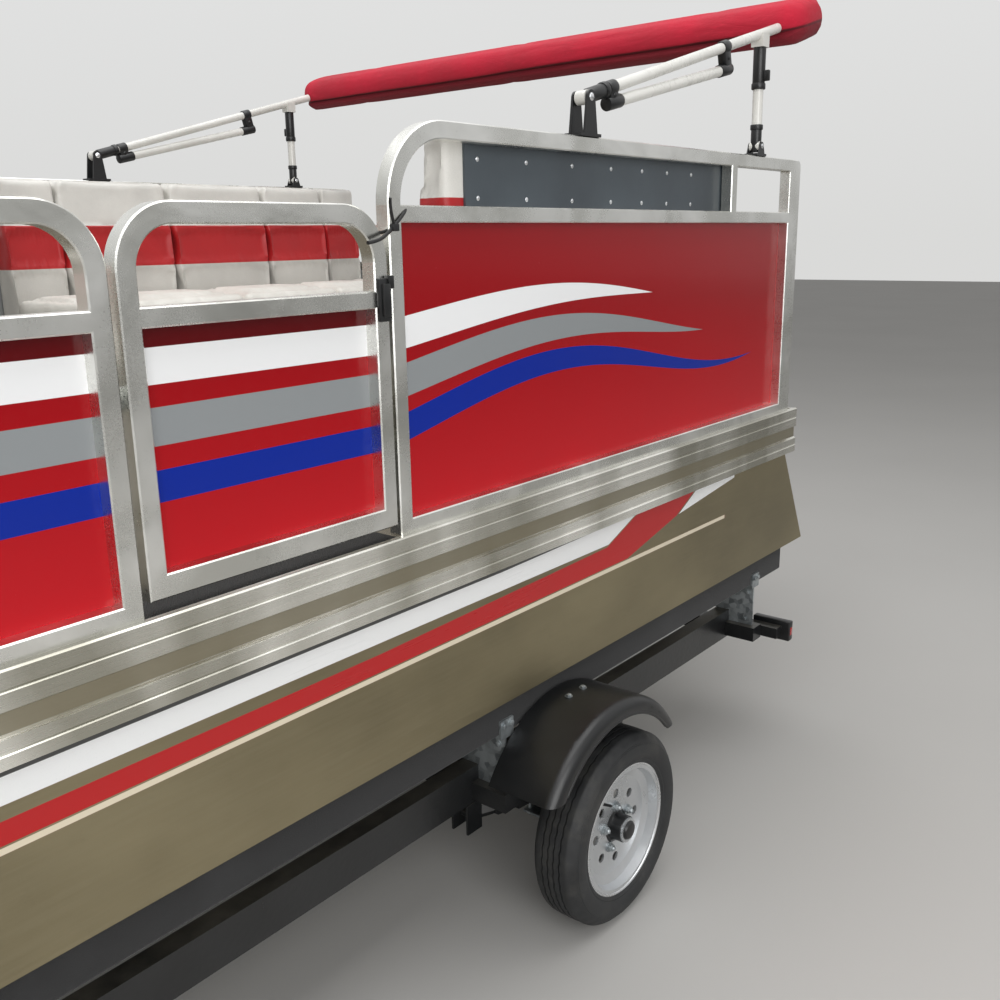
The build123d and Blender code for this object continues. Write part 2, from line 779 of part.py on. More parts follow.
with BuildPart() as canopy_boot:
    with BuildSketch(across(mount_y + boot_over)):
        with Locations((boot_x, boot_z)):
            SlotCenterToCenter(boot_flat, 2 * boot_r, rotation=-degrees(arm_tilt))
    extrude(amount=2 * (mount_y + boot_over))
    ends = canopy_boot.faces().sort_by(Axis.Y)
    fillet([*ends[0].edges(), *ends[-1].edges()], 25)
save(canopy_boot, "canopy_boot")

# Struts: an eye on the rail mount, a tube, and a saddle half round the arm
arm_at_strut = pivot_z + (mount_x - strut_x) * arm_rise / arm_run
for side, s in sides:
    with BuildPart() as strut:
        with BuildSketch(level(strut_pin_z)):
            with Locations((strut_x, s * mount_y)):
                Circle(strut_r)
        extrude(amount=arm_at_strut - arm_r - saddle_h / 2 - strut_pin_z)
        block(
            strut_x - saddle_w / 2, strut_x + saddle_w / 2,
            s * mount_y - arm_r - 5, s * mount_y + arm_r + 5,
            arm_at_strut - arm_r - saddle_h, arm_at_strut,
        )
        with BuildSketch(across(s * mount_y + eye_half)):
            with Locations((strut_x, strut_pin_z)):
                Circle(strut_r)
        extrude(amount=2 * eye_half)
        arm_plane = Plane(origin=(mount_x, s * mount_y, pivot_z), z_dir=(-cos(arm_tilt), 0, sin(arm_tilt)))
        with BuildSketch(arm_plane):
            Circle(arm_r + seat_gap)
        extrude(amount=hypot(arm_rise, arm_run), mode=Mode.SUBTRACT)
        with BuildSketch(across(s * mount_y + eye_half + 1)):
            with Locations((strut_x, strut_pin_z)):
                Circle(strut_pin_r + seat_gap)
        extrude(amount=2 * eye_half + 2, mode=Mode.SUBTRACT)
    save(strut, f"canopy_strut_{side}")

# Outboard clamp: two cheeks hooked over the transom, joined by the tilt tube
clamp_fwd = transom_x + transom_t
tilt_r = 15
with BuildPart() as clamp:
    for e in (-1, 1):
        with BuildSketch(across(e * cheek_y + (cheek_t if e > 0 else 0))):
            with BuildLine():
                Polyline(
                    (tilt_x - 28, tilt_z + 26), (tilt_x + 26, tilt_z + 26),
                    (clamp_fwd + 26, transom_top + 22), (clamp_fwd + 26, transom_top - hook_h),
                    (clamp_fwd + seat_gap, transom_top - hook_h),
                    (clamp_fwd + seat_gap, transom_top + seat_gap),
                    (transom_x - seat_gap, transom_top + seat_gap),
                    (transom_x - seat_gap, transom_top - 330),
                    (transom_x - 40, transom_top - 330), (transom_x - 62, transom_top - 120),
                    (tilt_x - 28, tilt_z - 20), close=True,
                )
            make_face()
        extrude(amount=cheek_t)
    with BuildSketch(across(cheek_y + cheek_t)):
        with Locations((tilt_x, tilt_z)):
            Circle(tilt_r)
    extrude(amount=2 * (cheek_y + cheek_t))
save(clamp, "outboard_clamp")

# Swivel bracket: turns on the tilt tube and carries the upright steering tube
swivel_half = cheek_y - 6
swivel_top = tilt_z + 20
swivel_low = tilt_z - 290
with BuildPart() as swivel:
    with BuildSketch(across(swivel_half)):
        with BuildLine():
            Polyline(
                (tilt_x + 22, tilt_z - 18), (tilt_x + 22, tilt_z + 12), (tilt_x + 12, swivel_top),
                (steer_x, swivel_top), (steer_x, swivel_low), (steer_x + 34, swivel_low),
                (steer_x + 46, tilt_z - 60), close=True,
            )
        make_face()
    extrude(amount=2 * swivel_half)
    with BuildSketch(level(swivel_low)):
        with Locations((steer_x, 0)):
            Circle(40)
    extrude(amount=swivel_top - swivel_low)
    with BuildSketch(across(swivel_half + 1)):
        with Locations((tilt_x, tilt_z)):
            Circle(tilt_r + 0.3)
    extrude(amount=2 * swivel_half + 2, mode=Mode.SUBTRACT)
save(swivel, "outboard_swivel")

# Outboard leg: yokes on the steering tube, midsection, plate, gearcase and skeg
leg_aft = steer_x - 250
case_r = 50
case_nose = steer_x + 40
case_tail = steer_x - 330
with BuildPart() as leg:
    with BuildSketch(level(swivel_top + seat_gap)):
        with Locations((steer_x - 110, 0)):
            RectangleRounded(310, 210, 60)
    extrude(amount=55)
    with BuildSketch(level(swivel_top + 20)):
        with Locations((steer_x - 165, 0)):
            RectangleRounded(170, 130, 50)
    with BuildSketch(level(vent_z)):
        with Locations((steer_x - 150, 0)):
            RectangleRounded(190, 76, 34)
    loft()
    with BuildSketch(level(swivel_low - 60)):
        with Locations((steer_x - 60, 0)):
            RectangleRounded(200, 84, 36)
    extrude(amount=60 - seat_gap)
    with BuildSketch(level(vent_z)):
        with Locations((steer_x - 160, 0)):
            RectangleRounded(430, 210, 90)
    extrude(amount=8)
    with BuildSketch(level(vent_z)):
        with Locations((steer_x - 150, 0)):
            Ellipse(110, 24)
    extrude(amount=prop_z - vent_z)
    with BuildSketch(across(0)):
        with BuildLine():
            Line((case_tail, prop_z), (case_nose, prop_z))
            Spline(
                (case_nose, prop_z), (steer_x - 60, prop_z + case_r), (case_tail, prop_z + case_r - 8),
                tangents=((0, 1), (-1, -0.1)),
            )
            Line((case_tail, prop_z + case_r - 8), (case_tail, prop_z))
        make_face()
    revolve(axis=Axis((steer_x, 0, prop_z), (1, 0, 0)))
    with BuildSketch(across(6)):
        with BuildLine():
            Polyline(
                (steer_x - 20, prop_z), (steer_x - 130, prop_z - 200), (steer_x - 235, prop_z - 205),
                (steer_x - 215, prop_z), close=True,
            )
        make_face()
    extrude(amount=12)
save(leg, "outboard_leg")

# Cowl: a tall rounded hood, narrower towards the top
cowl_low = swivel_top + 55 + 2 * seat_gap
# height above the foot, length, width, shift of the middle aft
cowl_rows = [(0, 470, 290, 150), (90, 560, 380, 175), (380, 560, 370, 185), (540, 420, 270, 175)]
with BuildPart() as cowl:
    for rise, length, width, shift in cowl_rows:
        with BuildSketch(level(cowl_low + rise)):
            with Locations((steer_x + 100 - shift - 60, 0)):
                RectangleRounded(length, width, width * 0.36)
    loft()
    fillet(cowl.edges().group_by(Axis.Z)[-1], 30)
save(cowl, "outboard_cowl")

# Propeller: hub and three twisted blades; each row is radius, chord, thickness, pitch angle
hub_len = 105
prop_x = case_tail - seat_gap - hub_len / 2
blade_rows = [(30, 74, 13, 62), (100, 108, 9, 44), (prop_r, 52, 4, 30)]
with BuildPart() as propeller:
    with BuildSketch(station(case_tail - seat_gap - hub_len)):
        with Locations((0, prop_z)):
            Circle(36)
    extrude(amount=hub_len, taper=-3)
    for n in range(3):
        turn = radians(120 * n + 90)
        for radius, chord, thick, pitch in blade_rows:
            out = Vector(0, cos(turn), sin(turn))
            around = Vector(0, -sin(turn), cos(turn))
            a = radians(pitch)
            chord_dir = Vector(1, 0, 0) * sin(a) + around * cos(a)
            origin = Vector(prop_x, 0, prop_z) + out * radius
            with BuildSketch(Plane(origin=origin, x_dir=chord_dir, z_dir=out)):
                Ellipse(chord / 2, thick / 2)
        loft()
save(propeller, "propeller")

# Trailer side beams
with BuildPart() as beams:
    for side, s in sides:
        with BuildSketch(station(stern - 10)):
            with Locations((s * beam_y, beam_top - beam_h / 2)):
                Rectangle(beam_w, beam_h)
                Rectangle(beam_w - 8, beam_h - 8, mode=Mode.SUBTRACT)
        extrude(amount=beams_end - stern + 10)
save(beams, "trailer_side_beams")

# Cross members: between the beams, with a short arm outside each beam
member_tip = pontoon_y + pontoon_w / 2 - chine_flat / 2 + bunk_w / 2 + 20
lamp_x = stern + 100
lamp_y = member_tip + 20
with BuildPart() as members:
    for x in member_xs:
        spans = ((-beam_y + beam_w / 2, beam_y - beam_w / 2), (beam_y + beam_w / 2, member_tip),
                 (-member_tip, -beam_y - beam_w / 2))
        for y0, y1 in spans:
            block(x - member_w / 2, x + member_w / 2, y0, y1, member_top - member_h, member_top)
    for side, s in sides:
        block(
            lamp_x, member_xs[0] - member_w / 2 + 1, s * (member_tip - 50), s * (lamp_y + 40),
            member_top - member_h + 6, member_top - 6,
        )
save(members, "trailer_cross_members")

# Tongue: centre beam with two angled beams to the side beams
tongue_join = pontoon_nose + 150
tongue_low = beam_top - beam_h
with BuildPart() as tongue:
    with BuildSketch(level(tongue_low)):
        with BuildLine():
            Polyline(
                (beams_end, -beam_y - beam_w / 2), (beams_end, -beam_y + beam_w / 2),
                (tongue_join - 120, -tongue_w / 2), (member_xs[-1] + member_w / 2, -tongue_w / 2),
                (member_xs[-1] + member_w / 2, tongue_w / 2), (tongue_join - 120, tongue_w / 2),
                (beams_end, beam_y - beam_w / 2), (beams_end, beam_y + beam_w / 2),
                (tongue_join, tongue_w / 2), (tongue_end, tongue_w / 2), (tongue_end, -tongue_w / 2),
                (tongue_join, -tongue_w / 2), close=True,
            )
        make_face()
    extrude(amount=beam_h)
save(tongue, "trailer_tongue")

# Coupler: sleeve on the tongue, then a nose with the ball socket open below
socket_x = coupler_nose - 62
socket_depth = 32
coupler_low = tongue_low - 6
coupler_top = beam_top + 6
with BuildPart() as coupler:
    block(
        tongue_end - 110, tongue_end + seat_gap + 20, -tongue_w / 2 - 7, tongue_w / 2 + 7,
        coupler_low, coupler_top,
    )
    with BuildSketch(station(tongue_end + 20)):
        with Locations((0, (coupler_low + coupler_top) / 2)):
            Rectangle(2 * coupler_y + 26, coupler_top - coupler_low)
    with BuildSketch(station(coupler_nose - 110)):
        with Locations((0, coupler_low + 38)):
            Rectangle(2 * coupler_y + 20, 76)
    loft()
    with BuildSketch(level(coupler_low)):
        with Locations((coupler_nose - 50, 0)):
            Circle(50)
        with Locations((coupler_nose - 90, 0)):
            Rectangle(80, 84)
    extrude(amount=64)
    with BuildSketch(level(coupler_low)):
        with Locations((socket_x, 0)):
            Circle(ball_r)
    extrude(amount=socket_depth, mode=Mode.SUBTRACT)
    with BuildSketch(station(tongue_end - 111)):
        with Locations((0, (tongue_low + beam_top) / 2)):
            Rectangle(tongue_w + 2 * seat_gap, beam_h + 2 * seat_gap)
    extrude(amount=111 + seat_gap, mode=Mode.SUBTRACT)
save(coupler, "coupler")

# Jack beside the tongue, its foot on the ground
jack_y = tongue_w / 2 + 45
jack_tube_low = beam_top - 290
jack_tube_top = beam_top + 270
with BuildPart() as jack:
    block(jack_x - 45, jack_x + 45, tongue_w / 2, jack_y, beam_top - 80, beam_top - 10)
    with BuildSketch(level(jack_tube_low)):
        with Locations((jack_x, jack_y)):
            Circle(30)
    extrude(amount=jack_tube_top - jack_tube_low)
    with BuildSketch(level(10)):
        with Locations((jack_x, jack_y)):
            Circle(24)
    extrude(amount=jack_tube_low)
    with BuildSketch(level(0)):
        with Locations((jack_x, jack_y)):
            RectangleRounded(jack_foot, jack_foot, 20)
    extrude(amount=12)
    with BuildSketch(level(jack_tube_top)):
        with Locations((jack_x, jack_y)):
            Circle(34)
    extrude(amount=30)
    block(jack_x - 8, jack_x + 8, jack_y, jack_y + 150, jack_tube_top + 7, jack_tube_top + 23)
    with BuildSketch(level(jack_tube_top + 23)):
        with Locations((jack_x, jack_y + 140)):
            Circle(12)
    extrude(amount=80)
save(jack, "trailer_jack")

# Winch stand: post with a brace, winch drum between two plates, and the bow stop
post_top = chine_z + 330
with BuildPart() as winch_stand:
    block(winch_x - 30, winch_x + 30, -25, 25, beam_top, post_top)
    block(winch_x - 110, winch_x + 110, -38, 38, beam_top, beam_top + 10)
    with BuildSketch(across(8)):
        with BuildLine():
            Polyline(
                (winch_x + 30, beam_top + 9), (winch_x + 105, beam_top + 9), (winch_x + 30, beam_top + 260),
                close=True,
            )
        make_face()
    extrude(amount=16)
    for e in (-1, 1):
        block(winch_x - 60, winch_x + 90, e * 25, e * 33, post_top - 150, post_top - 10)
    with BuildSketch(across(60)):
        with Locations((winch_x + 55, post_top - 80)):
            Circle(38)
    extrude(amount=120)
    block(winch_x - 160, winch_x - 30, -30, 30, post_top - 50, post_top)
save(winch_stand, "winch_stand")

# Bunks under the chine flats, two to a pontoon, and the brackets that carry them
bunk_low = bunk_top - bunk_h
chine_ys = (pontoon_y - pontoon_w / 2 + chine_flat / 2, pontoon_y + pontoon_w / 2 - chine_flat / 2)
with BuildPart() as bunks:
    for side, s in sides:
        for y in chine_ys:
            with BuildSketch(station(bunk_aft)):
                with Locations((s * y, bunk_low + bunk_h / 2)):
                    RectangleRounded(bunk_w, bunk_h, 8)
            extrude(amount=bunk_fwd - bunk_aft)
save(bunks, "trailer_bunks")

gusset_t = 6
gusset_w = 150
tab_h = 50
tab_lap = 10
beam_out = beam_y + beam_w / 2 + seat_gap
with BuildPart() as brackets:
    for side, s in sides:
        for y, e in ((chine_ys[0], -1), (chine_ys[1], 1)):
            face_y = y + e * bunk_w / 2
            tip_y = face_y - e * gusset_w
            # the outer gussets step over the side beam
            over = beam_top + seat_gap
            foot = [(tip_y, member_top + 12), (tip_y, member_top)]
            if e > 0:
                foot = [(tip_y, over + 8), (tip_y, over), (beam_out, over), (beam_out, member_top)]
            for x in member_xs:
                with BuildSketch(station(x - gusset_t / 2)):
                    with BuildLine():
                        Polyline(
                            (s * face_y, member_top), (s * face_y, bunk_low),
                            (s * (face_y - e * 30), bunk_low),
                            *[(s * foot_y, foot_z) for foot_y, foot_z in foot], close=True,
                        )
                    make_face()
                extrude(amount=gusset_t)
                block(
                    x - 25, x + 25, s * face_y, s * (face_y + e * gusset_t),
                    bunk_low - tab_lap, bunk_low - tab_lap + tab_h,
                )
save(brackets, "bunk_brackets")

# Axle with its two leaf springs and hangers
axle_r = 30
spring_half = 330
hanger_x = spring_half + 10
leaf_h = 9
with BuildPart() as axle:
    with BuildSketch(across(hub_in - seat_gap)):
        with Locations((axle_x, tyre_r)):
            Circle(axle_r)
    extrude(amount=2 * (hub_in - seat_gap))
    for side, s in sides:
        # leaf half length, number of the leaf from the top
        for reach, n in ((spring_half, 0), (spring_half * 0.72, 1), (spring_half * 0.45, 2)):
            low = tyre_r + axle_r + leaf_h * (2 - n) - 1
            rise = 52 * (reach / spring_half) ** 2
            with BuildSketch(across(s * beam_y + 22)):
                with BuildLine():
                    ThreePointArc((axle_x - reach, low + rise), (axle_x, low), (axle_x + reach, low + rise))
                    Line((axle_x + reach, low + rise), (axle_x + reach, low + rise + leaf_h))
                    ThreePointArc(
                        (axle_x + reach, low + rise + leaf_h), (axle_x, low + leaf_h),
                        (axle_x - reach, low + rise + leaf_h),
                    )
                    Line((axle_x - reach, low + rise + leaf_h), (axle_x - reach, low + rise))
                make_face()
            extrude(amount=44)
        for e in (-1, 1):
            hx = axle_x + e * hanger_x
            for w in (-1, 1):
                y0 = s * beam_y + w * 25
                block(hx - 28, hx + 28, y0 - 3, y0 + 3, tyre_r + axle_r + 40, beam_top - beam_h)
            with BuildSketch(across(s * beam_y + 26)):
                with Locations((hx - e * 10, tyre_r + axle_r + 2 * leaf_h + 57)):
                    Circle(10)
            extrude(amount=52)
save(axle, "trailer_axle")

# Fenders: round guards with an inner wall, held by two bars from the side beams
fender_r = 340
fender_x = axle_x + 110
fender_z = tyre_r + 82
fender_in = wheel_y - 89
fender_out = wheel_y + 108
fender_t = 5
fender_foot = fender_z + 180
foot_angle = degrees(asin((fender_foot - fender_z) / fender_r))
fenders = []
for side, s in sides:
    with BuildPart() as fender:
        with BuildSketch(across(s * fender_in)):
            with BuildLine():
                arc = CenterArc((fender_x, fender_z), fender_r, foot_angle, 180 - 2 * foot_angle)
                Line(arc @ 1, arc @ 0)
            make_face()
        extrude(amount=-s * (fender_out - fender_in))
        rim_edges = fender.edges().group_by(Axis.Y)[-1 if s > 0 else 0].filter_by(GeomType.CIRCLE)
        fillet(rim_edges, 30)
        offset(amount=-fender_t, openings=fender.faces().sort_by(Axis.Z)[0])
        with BuildSketch(across(s * (fender_out + 1))):
            with BuildLine():
                arc = CenterArc((fender_x, fender_z), fender_r - 40, 0, 180)
                Line(arc @ 1, arc @ 0)
            make_face()
        extrude(amount=s * 60, mode=Mode.SUBTRACT)
        for e in (-1, 1):
            bar_x = fender_x + e * 150
            block(
                bar_x - 20, bar_x + 20, s * (beam_y + beam_w / 2), s * (fender_in + 2),
                beam_top - 12, beam_top - 4,
            )
            block(
                bar_x - 20, bar_x + 20, s * (fender_in - 3), s * (fender_in + fender_t), beam_top - 12,
                fender_foot + 60,
            )
    fenders.append(fender.part)
with BuildPart() as fender_pair:
    for shell in fenders:
        add(shell)
save(fender_pair, "trailer_fenders")

# Tail lamps behind the rear cross member
lamp_t = 46
lamp_h = 72
lamp_w = 140
with BuildPart() as lamps:
    for side, s in sides:
        with BuildSketch(station(lamp_x)):
            with Locations((s * lamp_y, member_top - member_h / 2)):
                RectangleRounded(lamp_w, lamp_h, 12)
        extrude(amount=-lamp_t)
save(lamps, "tail_lamps")

# Wheels: steel rim with a dished, pierced disc, and a tyre on it
disc_out = wheel_y + 26
for side, s in sides:
    with BuildPart() as rim:
        # radius, then place across the wheel, down the outer face of the half section and back up inside
        half_rows = [
            (rim_r, rim_half - 5), (rim_r - 12, rim_half - 9), (rim_r - 15, rim_half - 22), (rim_r - 39, 24),
        ]
        inner_rows = [
            (rim_r, rim_half), (rim_r - 14, rim_half), (rim_r - 20, rim_half - 24), (rim_r - 44, 26),
        ]
        section = [
            *half_rows, *[(r, -y) for r, y in reversed(half_rows)],
            *[(r, -y) for r, y in inner_rows], *reversed(inner_rows),
        ]
        with BuildSketch(level(tyre_r)):
            with BuildLine():
                Polyline(*[(axle_x + r, s * wheel_y + y) for r, y in section], close=True)
            make_face()
        revolve(axis=Axis((axle_x, 0, tyre_r), (0, 1, 0)))
        with BuildSketch(across(s * disc_out)):
            with Locations((axle_x, tyre_r)):
                Circle(rim_r - 41)
                with PolarLocations(96, 8):
                    Circle(13, mode=Mode.SUBTRACT)
        extrude(amount=s * 6)
        with BuildSketch(across(s * hub_in)):
            with Locations((axle_x, tyre_r)):
                Circle(34)
        extrude(amount=-s * hub_w)
    save(rim, f"wheel_rim_{side}")

    bead = rim_r + seat_gap
    bulge_r = (bead + tyre_r) / 2
    shoulder_r = tyre_r - 12
    shoulder = tyre_w / 2 - 14
    with BuildPart() as tyre:
        with BuildSketch(level(tyre_r)):
            with BuildLine():
                Line((axle_x + bead, s * wheel_y - rim_half), (axle_x + bead, s * wheel_y + rim_half))
                for e in (-1, 1):
                    Spline(
                        (axle_x + bead, s * wheel_y + e * rim_half),
                        (axle_x + bulge_r, s * wheel_y + e * tyre_w / 2),
                        (axle_x + shoulder_r, s * wheel_y + e * shoulder),
                    )
                    Line(
                        (axle_x + shoulder_r, s * wheel_y + e * shoulder),
                        (axle_x + tyre_r, s * wheel_y + e * tread_half),
                    )
                Line(
                    (axle_x + tyre_r, s * wheel_y - tread_half),
                    (axle_x + tyre_r, s * wheel_y + tread_half),
                )
            make_face()
        revolve(axis=Axis((axle_x, 0, tyre_r), (0, 1, 0)))
    save(tyre, f"tyre_{side}")
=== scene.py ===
from math import atan2, cos, hypot, pi, radians, sin

import bmesh
import bpy
from mathutils import Matrix, Vector, noise


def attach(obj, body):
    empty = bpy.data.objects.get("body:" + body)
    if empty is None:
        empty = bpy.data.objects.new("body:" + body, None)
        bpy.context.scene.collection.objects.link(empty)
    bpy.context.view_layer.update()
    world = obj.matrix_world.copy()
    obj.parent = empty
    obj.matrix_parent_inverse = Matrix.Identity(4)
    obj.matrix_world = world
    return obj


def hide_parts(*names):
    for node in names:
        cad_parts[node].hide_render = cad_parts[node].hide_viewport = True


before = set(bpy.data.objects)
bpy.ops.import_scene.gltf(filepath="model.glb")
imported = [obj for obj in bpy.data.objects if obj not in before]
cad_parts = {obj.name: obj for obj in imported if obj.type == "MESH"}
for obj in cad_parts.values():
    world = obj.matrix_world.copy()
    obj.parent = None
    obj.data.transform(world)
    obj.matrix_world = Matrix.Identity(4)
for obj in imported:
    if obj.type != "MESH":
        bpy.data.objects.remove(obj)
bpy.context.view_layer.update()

bpy.ops.object.select_all(action="DESELECT")
print("frame loaded:", len(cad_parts), "nodes")

# places along the boat are measured forward from one station just aft of the deck
stern = -2.828
deckTop = 1.25
deckHalf = 1.075
tube = 0.035
hull = "boat_and_trailer"


def aft(distance):
    return stern + distance


# camera, floor and light

shot = {"place": (0.532, 2.475, 1.83), "turn": (75.5555, 0.9625, 129.0492), "lens": 36.583}
bpy.ops.object.camera_add(location=shot["place"], rotation=[radians(a) for a in shot["turn"]])
camera = bpy.context.object
camera.data.lens = shot["lens"]
camera.data.sensor_width = 36
camera.data.clip_start = 0.05
camera.data.clip_end = 200
bpy.context.scene.camera = camera
bpy.context.scene.view_settings.view_transform = "Standard"

studio = {
    "floor": (0.56, 0.55, 0.53), "ambient": 0.3, "sky": (0.86, 0.87, 0.88), "horizon": (0.7, 0.7, 0.69),
    "mirrored": ((0.0, 0.54), (0.12, 0.6), (0.3, 0.76), (0.55, 0.92), (0.8, 1.0), (1.0, 1.05)),
    "top": {"size": 9, "height": 8.0, "power": 520}, "side": {"size": 5, "power": 290},
}


def tint(red, green, blue):
    # a colour as it looks on screen, 0 to 255, made linear
    shares = (red / 255, green / 255, blue / 255)
    return tuple(c / 12.92 if c < 0.0405 else ((c + 0.055) / 1.055) ** 2.4 for c in shares) + (1,)


class Wire:
    # one output of a node, which can stand in sums
    def __init__(self, paint, socket):
        self.paint = paint
        self.socket = socket

    def sum(self, operation, *values, clamp=False):
        return self.paint.node("ShaderNodeMath", {"operation": operation, "use_clamp": clamp}, values)

    def __add__(self, other):
        return self.sum("ADD", self, other)

    __radd__ = __add__

    def __sub__(self, other):
        return self.sum("SUBTRACT", self, other)

    def __rsub__(self, other):
        return self.sum("SUBTRACT", other, self)

    def __mul__(self, other):
        return self.sum("MULTIPLY", self, other)

    __rmul__ = __mul__

    def __truediv__(self, other):
        return self.sum("DIVIDE", self, other)

    def __pow__(self, other):
        return self.sum("POWER", self, other)

    def __abs__(self):
        return self.sum("ABSOLUTE", self)

    def sine(self):
        return self.sum("SINE", self)

    def saw(self, step):
        return self.sum("MODULO", self.sum("MODULO", self, step) + step, step)

    def above(self, edge, soft=0.0006):
        return self.sum("MULTIPLY", (self - edge) + soft / 2, 1 / soft, clamp=True)

    def below(self, edge, soft=0.0006):
        return 1 - self.above(edge, soft)

    def inside(self, low, high, soft=0.0006):
        return self.above(low, soft) * self.below(high, soft)

    def either(self, other):
        return self.sum("MAXIMUM", self, other)


class Paint:
    # a material that is put together from node maths
    def __init__(self, name, world=None):
        self.made = world or bpy.data.materials.new(name)
        self.made.use_nodes = True
        self.tree = self.made.node_tree
        self.tree.nodes.clear()

    def node(self, kind, settings=None, inputs=(), out=None):
        made = self.tree.nodes.new(kind)
        for key, value in (settings or {}).items():
            if key == "stops":
                ramp = made.color_ramp
                while len(ramp.elements) < len(value):
                    ramp.elements.new(0.5)
                for stop, (at, colour) in zip(ramp.elements, value):
                    stop.position = at
                    stop.color = colour
            else:
                setattr(made, key, value)
        free = [s for s in made.inputs if s.enabled]
        named = inputs.items() if isinstance(inputs, dict) else enumerate(inputs)
        for key, value in named:
            socket = free[key] if isinstance(key, int) else next(s for s in free if s.name == key)
            if isinstance(value, Wire):
                self.tree.links.new(value.socket, socket)
            else:
                socket.default_value = value
        outs = [s for s in made.outputs if s.enabled]
        if isinstance(out, tuple):
            return [Wire(self, next(s for s in outs if s.name == name)) for name in out]
        if not outs:
            return made
        return Wire(self, outs[0] if out is None else next(s for s in outs if s.name == out))

    def where(self):
        self.at = self.node("ShaderNodeTexCoord", out="Object")
        self.x, self.y, self.z = self.node("ShaderNodeSeparateXYZ", inputs=[self.at], out=("X", "Y", "Z"))
        return self

    def noise(self, scale, detail=3.0, stretch=(1, 1, 1), rough=0.5, bend=0.0):
        spread = self.node("ShaderNodeVectorMath", {"operation": "MULTIPLY"}, [self.at, stretch])
        return self.node(
            "ShaderNodeTexNoise", {"noise_dimensions": "3D"},
            {"Vector": spread, "Scale": scale, "Detail": detail, "Roughness": rough, "Distortion": bend},
        )

    def cells(self, scale, kind="F1", out="Distance", stretch=(1, 1, 1)):
        spread = self.node("ShaderNodeVectorMath", {"operation": "MULTIPLY"}, [self.at, stretch])
        inputs = {"Vector": spread, "Scale": scale}
        return self.node("ShaderNodeTexVoronoi", {"feature": kind}, inputs, out=out)

    def ramp(self, value, *stops):
        grey = [(at, level if isinstance(level, tuple) else (level, level, level, 1)) for at, level in stops]
        return self.node("ShaderNodeValToRGB", {"stops": grey}, [value], out="Color")

    def level(self, value, low=0.3, high=0.7, to0=0.0, to1=1.0):
        return self.node("ShaderNodeMapRange", {"clamp": True}, [value, low, high, to0, to1])

    def mix(self, share, first, second, way="MIX"):
        return self.node("ShaderNodeMix", {"data_type": "RGBA", "blend_type": way}, [share, first, second])

    def tones(self, value, dark, light, low=0.3, high=0.7):
        return self.mix(self.level(value, low, high), tint(*dark), tint(*light))

    def over(self, colour, share, paint):
        # a colour laid over another where share is 1
        return self.mix(share, colour, tint(*paint))

    def bump(self, height, depth, strength=1.0, under=None):
        inputs = {"Height": height, "Distance": depth, "Strength": strength}
        if under is not None:
            inputs["Normal"] = under
        return self.node("ShaderNodeBump", inputs=inputs)

    def shade(self, colour, rough, metal=0.0, bump=None, **fixed):
        inputs = {"Base Color": colour, "Roughness": rough, "Metallic": metal}
        if bump is not None:
            inputs["Normal"] = bump
        for key, value in fixed.items():
            inputs[key.replace("_", " ").title().replace("Ior", "IOR")] = value
        surface = self.node("ShaderNodeBsdfPrincipled", inputs=inputs)
        self.node("ShaderNodeOutputMaterial", inputs={"Surface": surface})
        return self


world = bpy.data.worlds.new("studio")
bpy.context.scene.world = world
air = Paint("studio", world)
direction = air.node("ShaderNodeTexCoord", out="Generated")
up = air.node("ShaderNodeSeparateXYZ", inputs=[direction], out="Z")
# the background that is seen, the room that shiny faces mirror, and the even light
straight, mirrored, through = air.node(
    "ShaderNodeLightPath", out=("Is Camera Ray", "Is Glossy Ray", "Is Transmission Ray")
)
skyColour = air.mix(air.level(up, 0.0, 0.7), studio["horizon"] + (1,), studio["sky"] + (1,))
seen = air.node("ShaderNodeBackground", inputs={"Color": skyColour, "Strength": 1.0})
room = air.node("ShaderNodeBackground", inputs={"Color": air.ramp(up, *studio["mirrored"]), "Strength": 1.0})
litBy = air.node("ShaderNodeBackground", inputs={"Color": (1, 1, 1, 1), "Strength": studio["ambient"]})
withRoom = air.node("ShaderNodeMixShader", inputs=[mirrored, litBy, room])
bothSkies = air.node("ShaderNodeMixShader", inputs=[straight.either(through), withRoom, seen])
air.node("ShaderNodeOutputWorld", inputs={"Surface": bothSkies})

bpy.ops.mesh.primitive_plane_add(size=80, location=(0, 0, 0))
floor = bpy.context.object
floor.name = "floor"
ground = Paint("pale floor").where()
cloud = ground.noise(0.6, 4.0)
worn = tuple(c * 0.96 for c in studio["floor"])
ground.shade(
    ground.mix(ground.level(cloud), studio["floor"] + (1,), worn + (1,)), 0.85, specular_ior_level=0.2,
)
floor.data.materials.append(ground.made)

for name, place, size, power in (
    ("top light", (-0.4, 0.5, studio["top"]["height"]), studio["top"]["size"], studio["top"]["power"]),
    ("side light", (2.6, 6.5, 3.6), studio["side"]["size"], studio["side"]["power"]),
):
    bpy.ops.object.light_add(type="AREA", location=place)
    lamp = bpy.context.object
    lamp.name = name
    lamp.data.shape = "SQUARE"
    lamp.data.size = size
    lamp.data.energy = power
    aim = Vector((-0.4, 0, 1)) - Vector(place)
    lamp.rotation_euler = aim.to_track_quat("-Z", "Y").to_euler()
print("camera, floor and light set")


# finishes

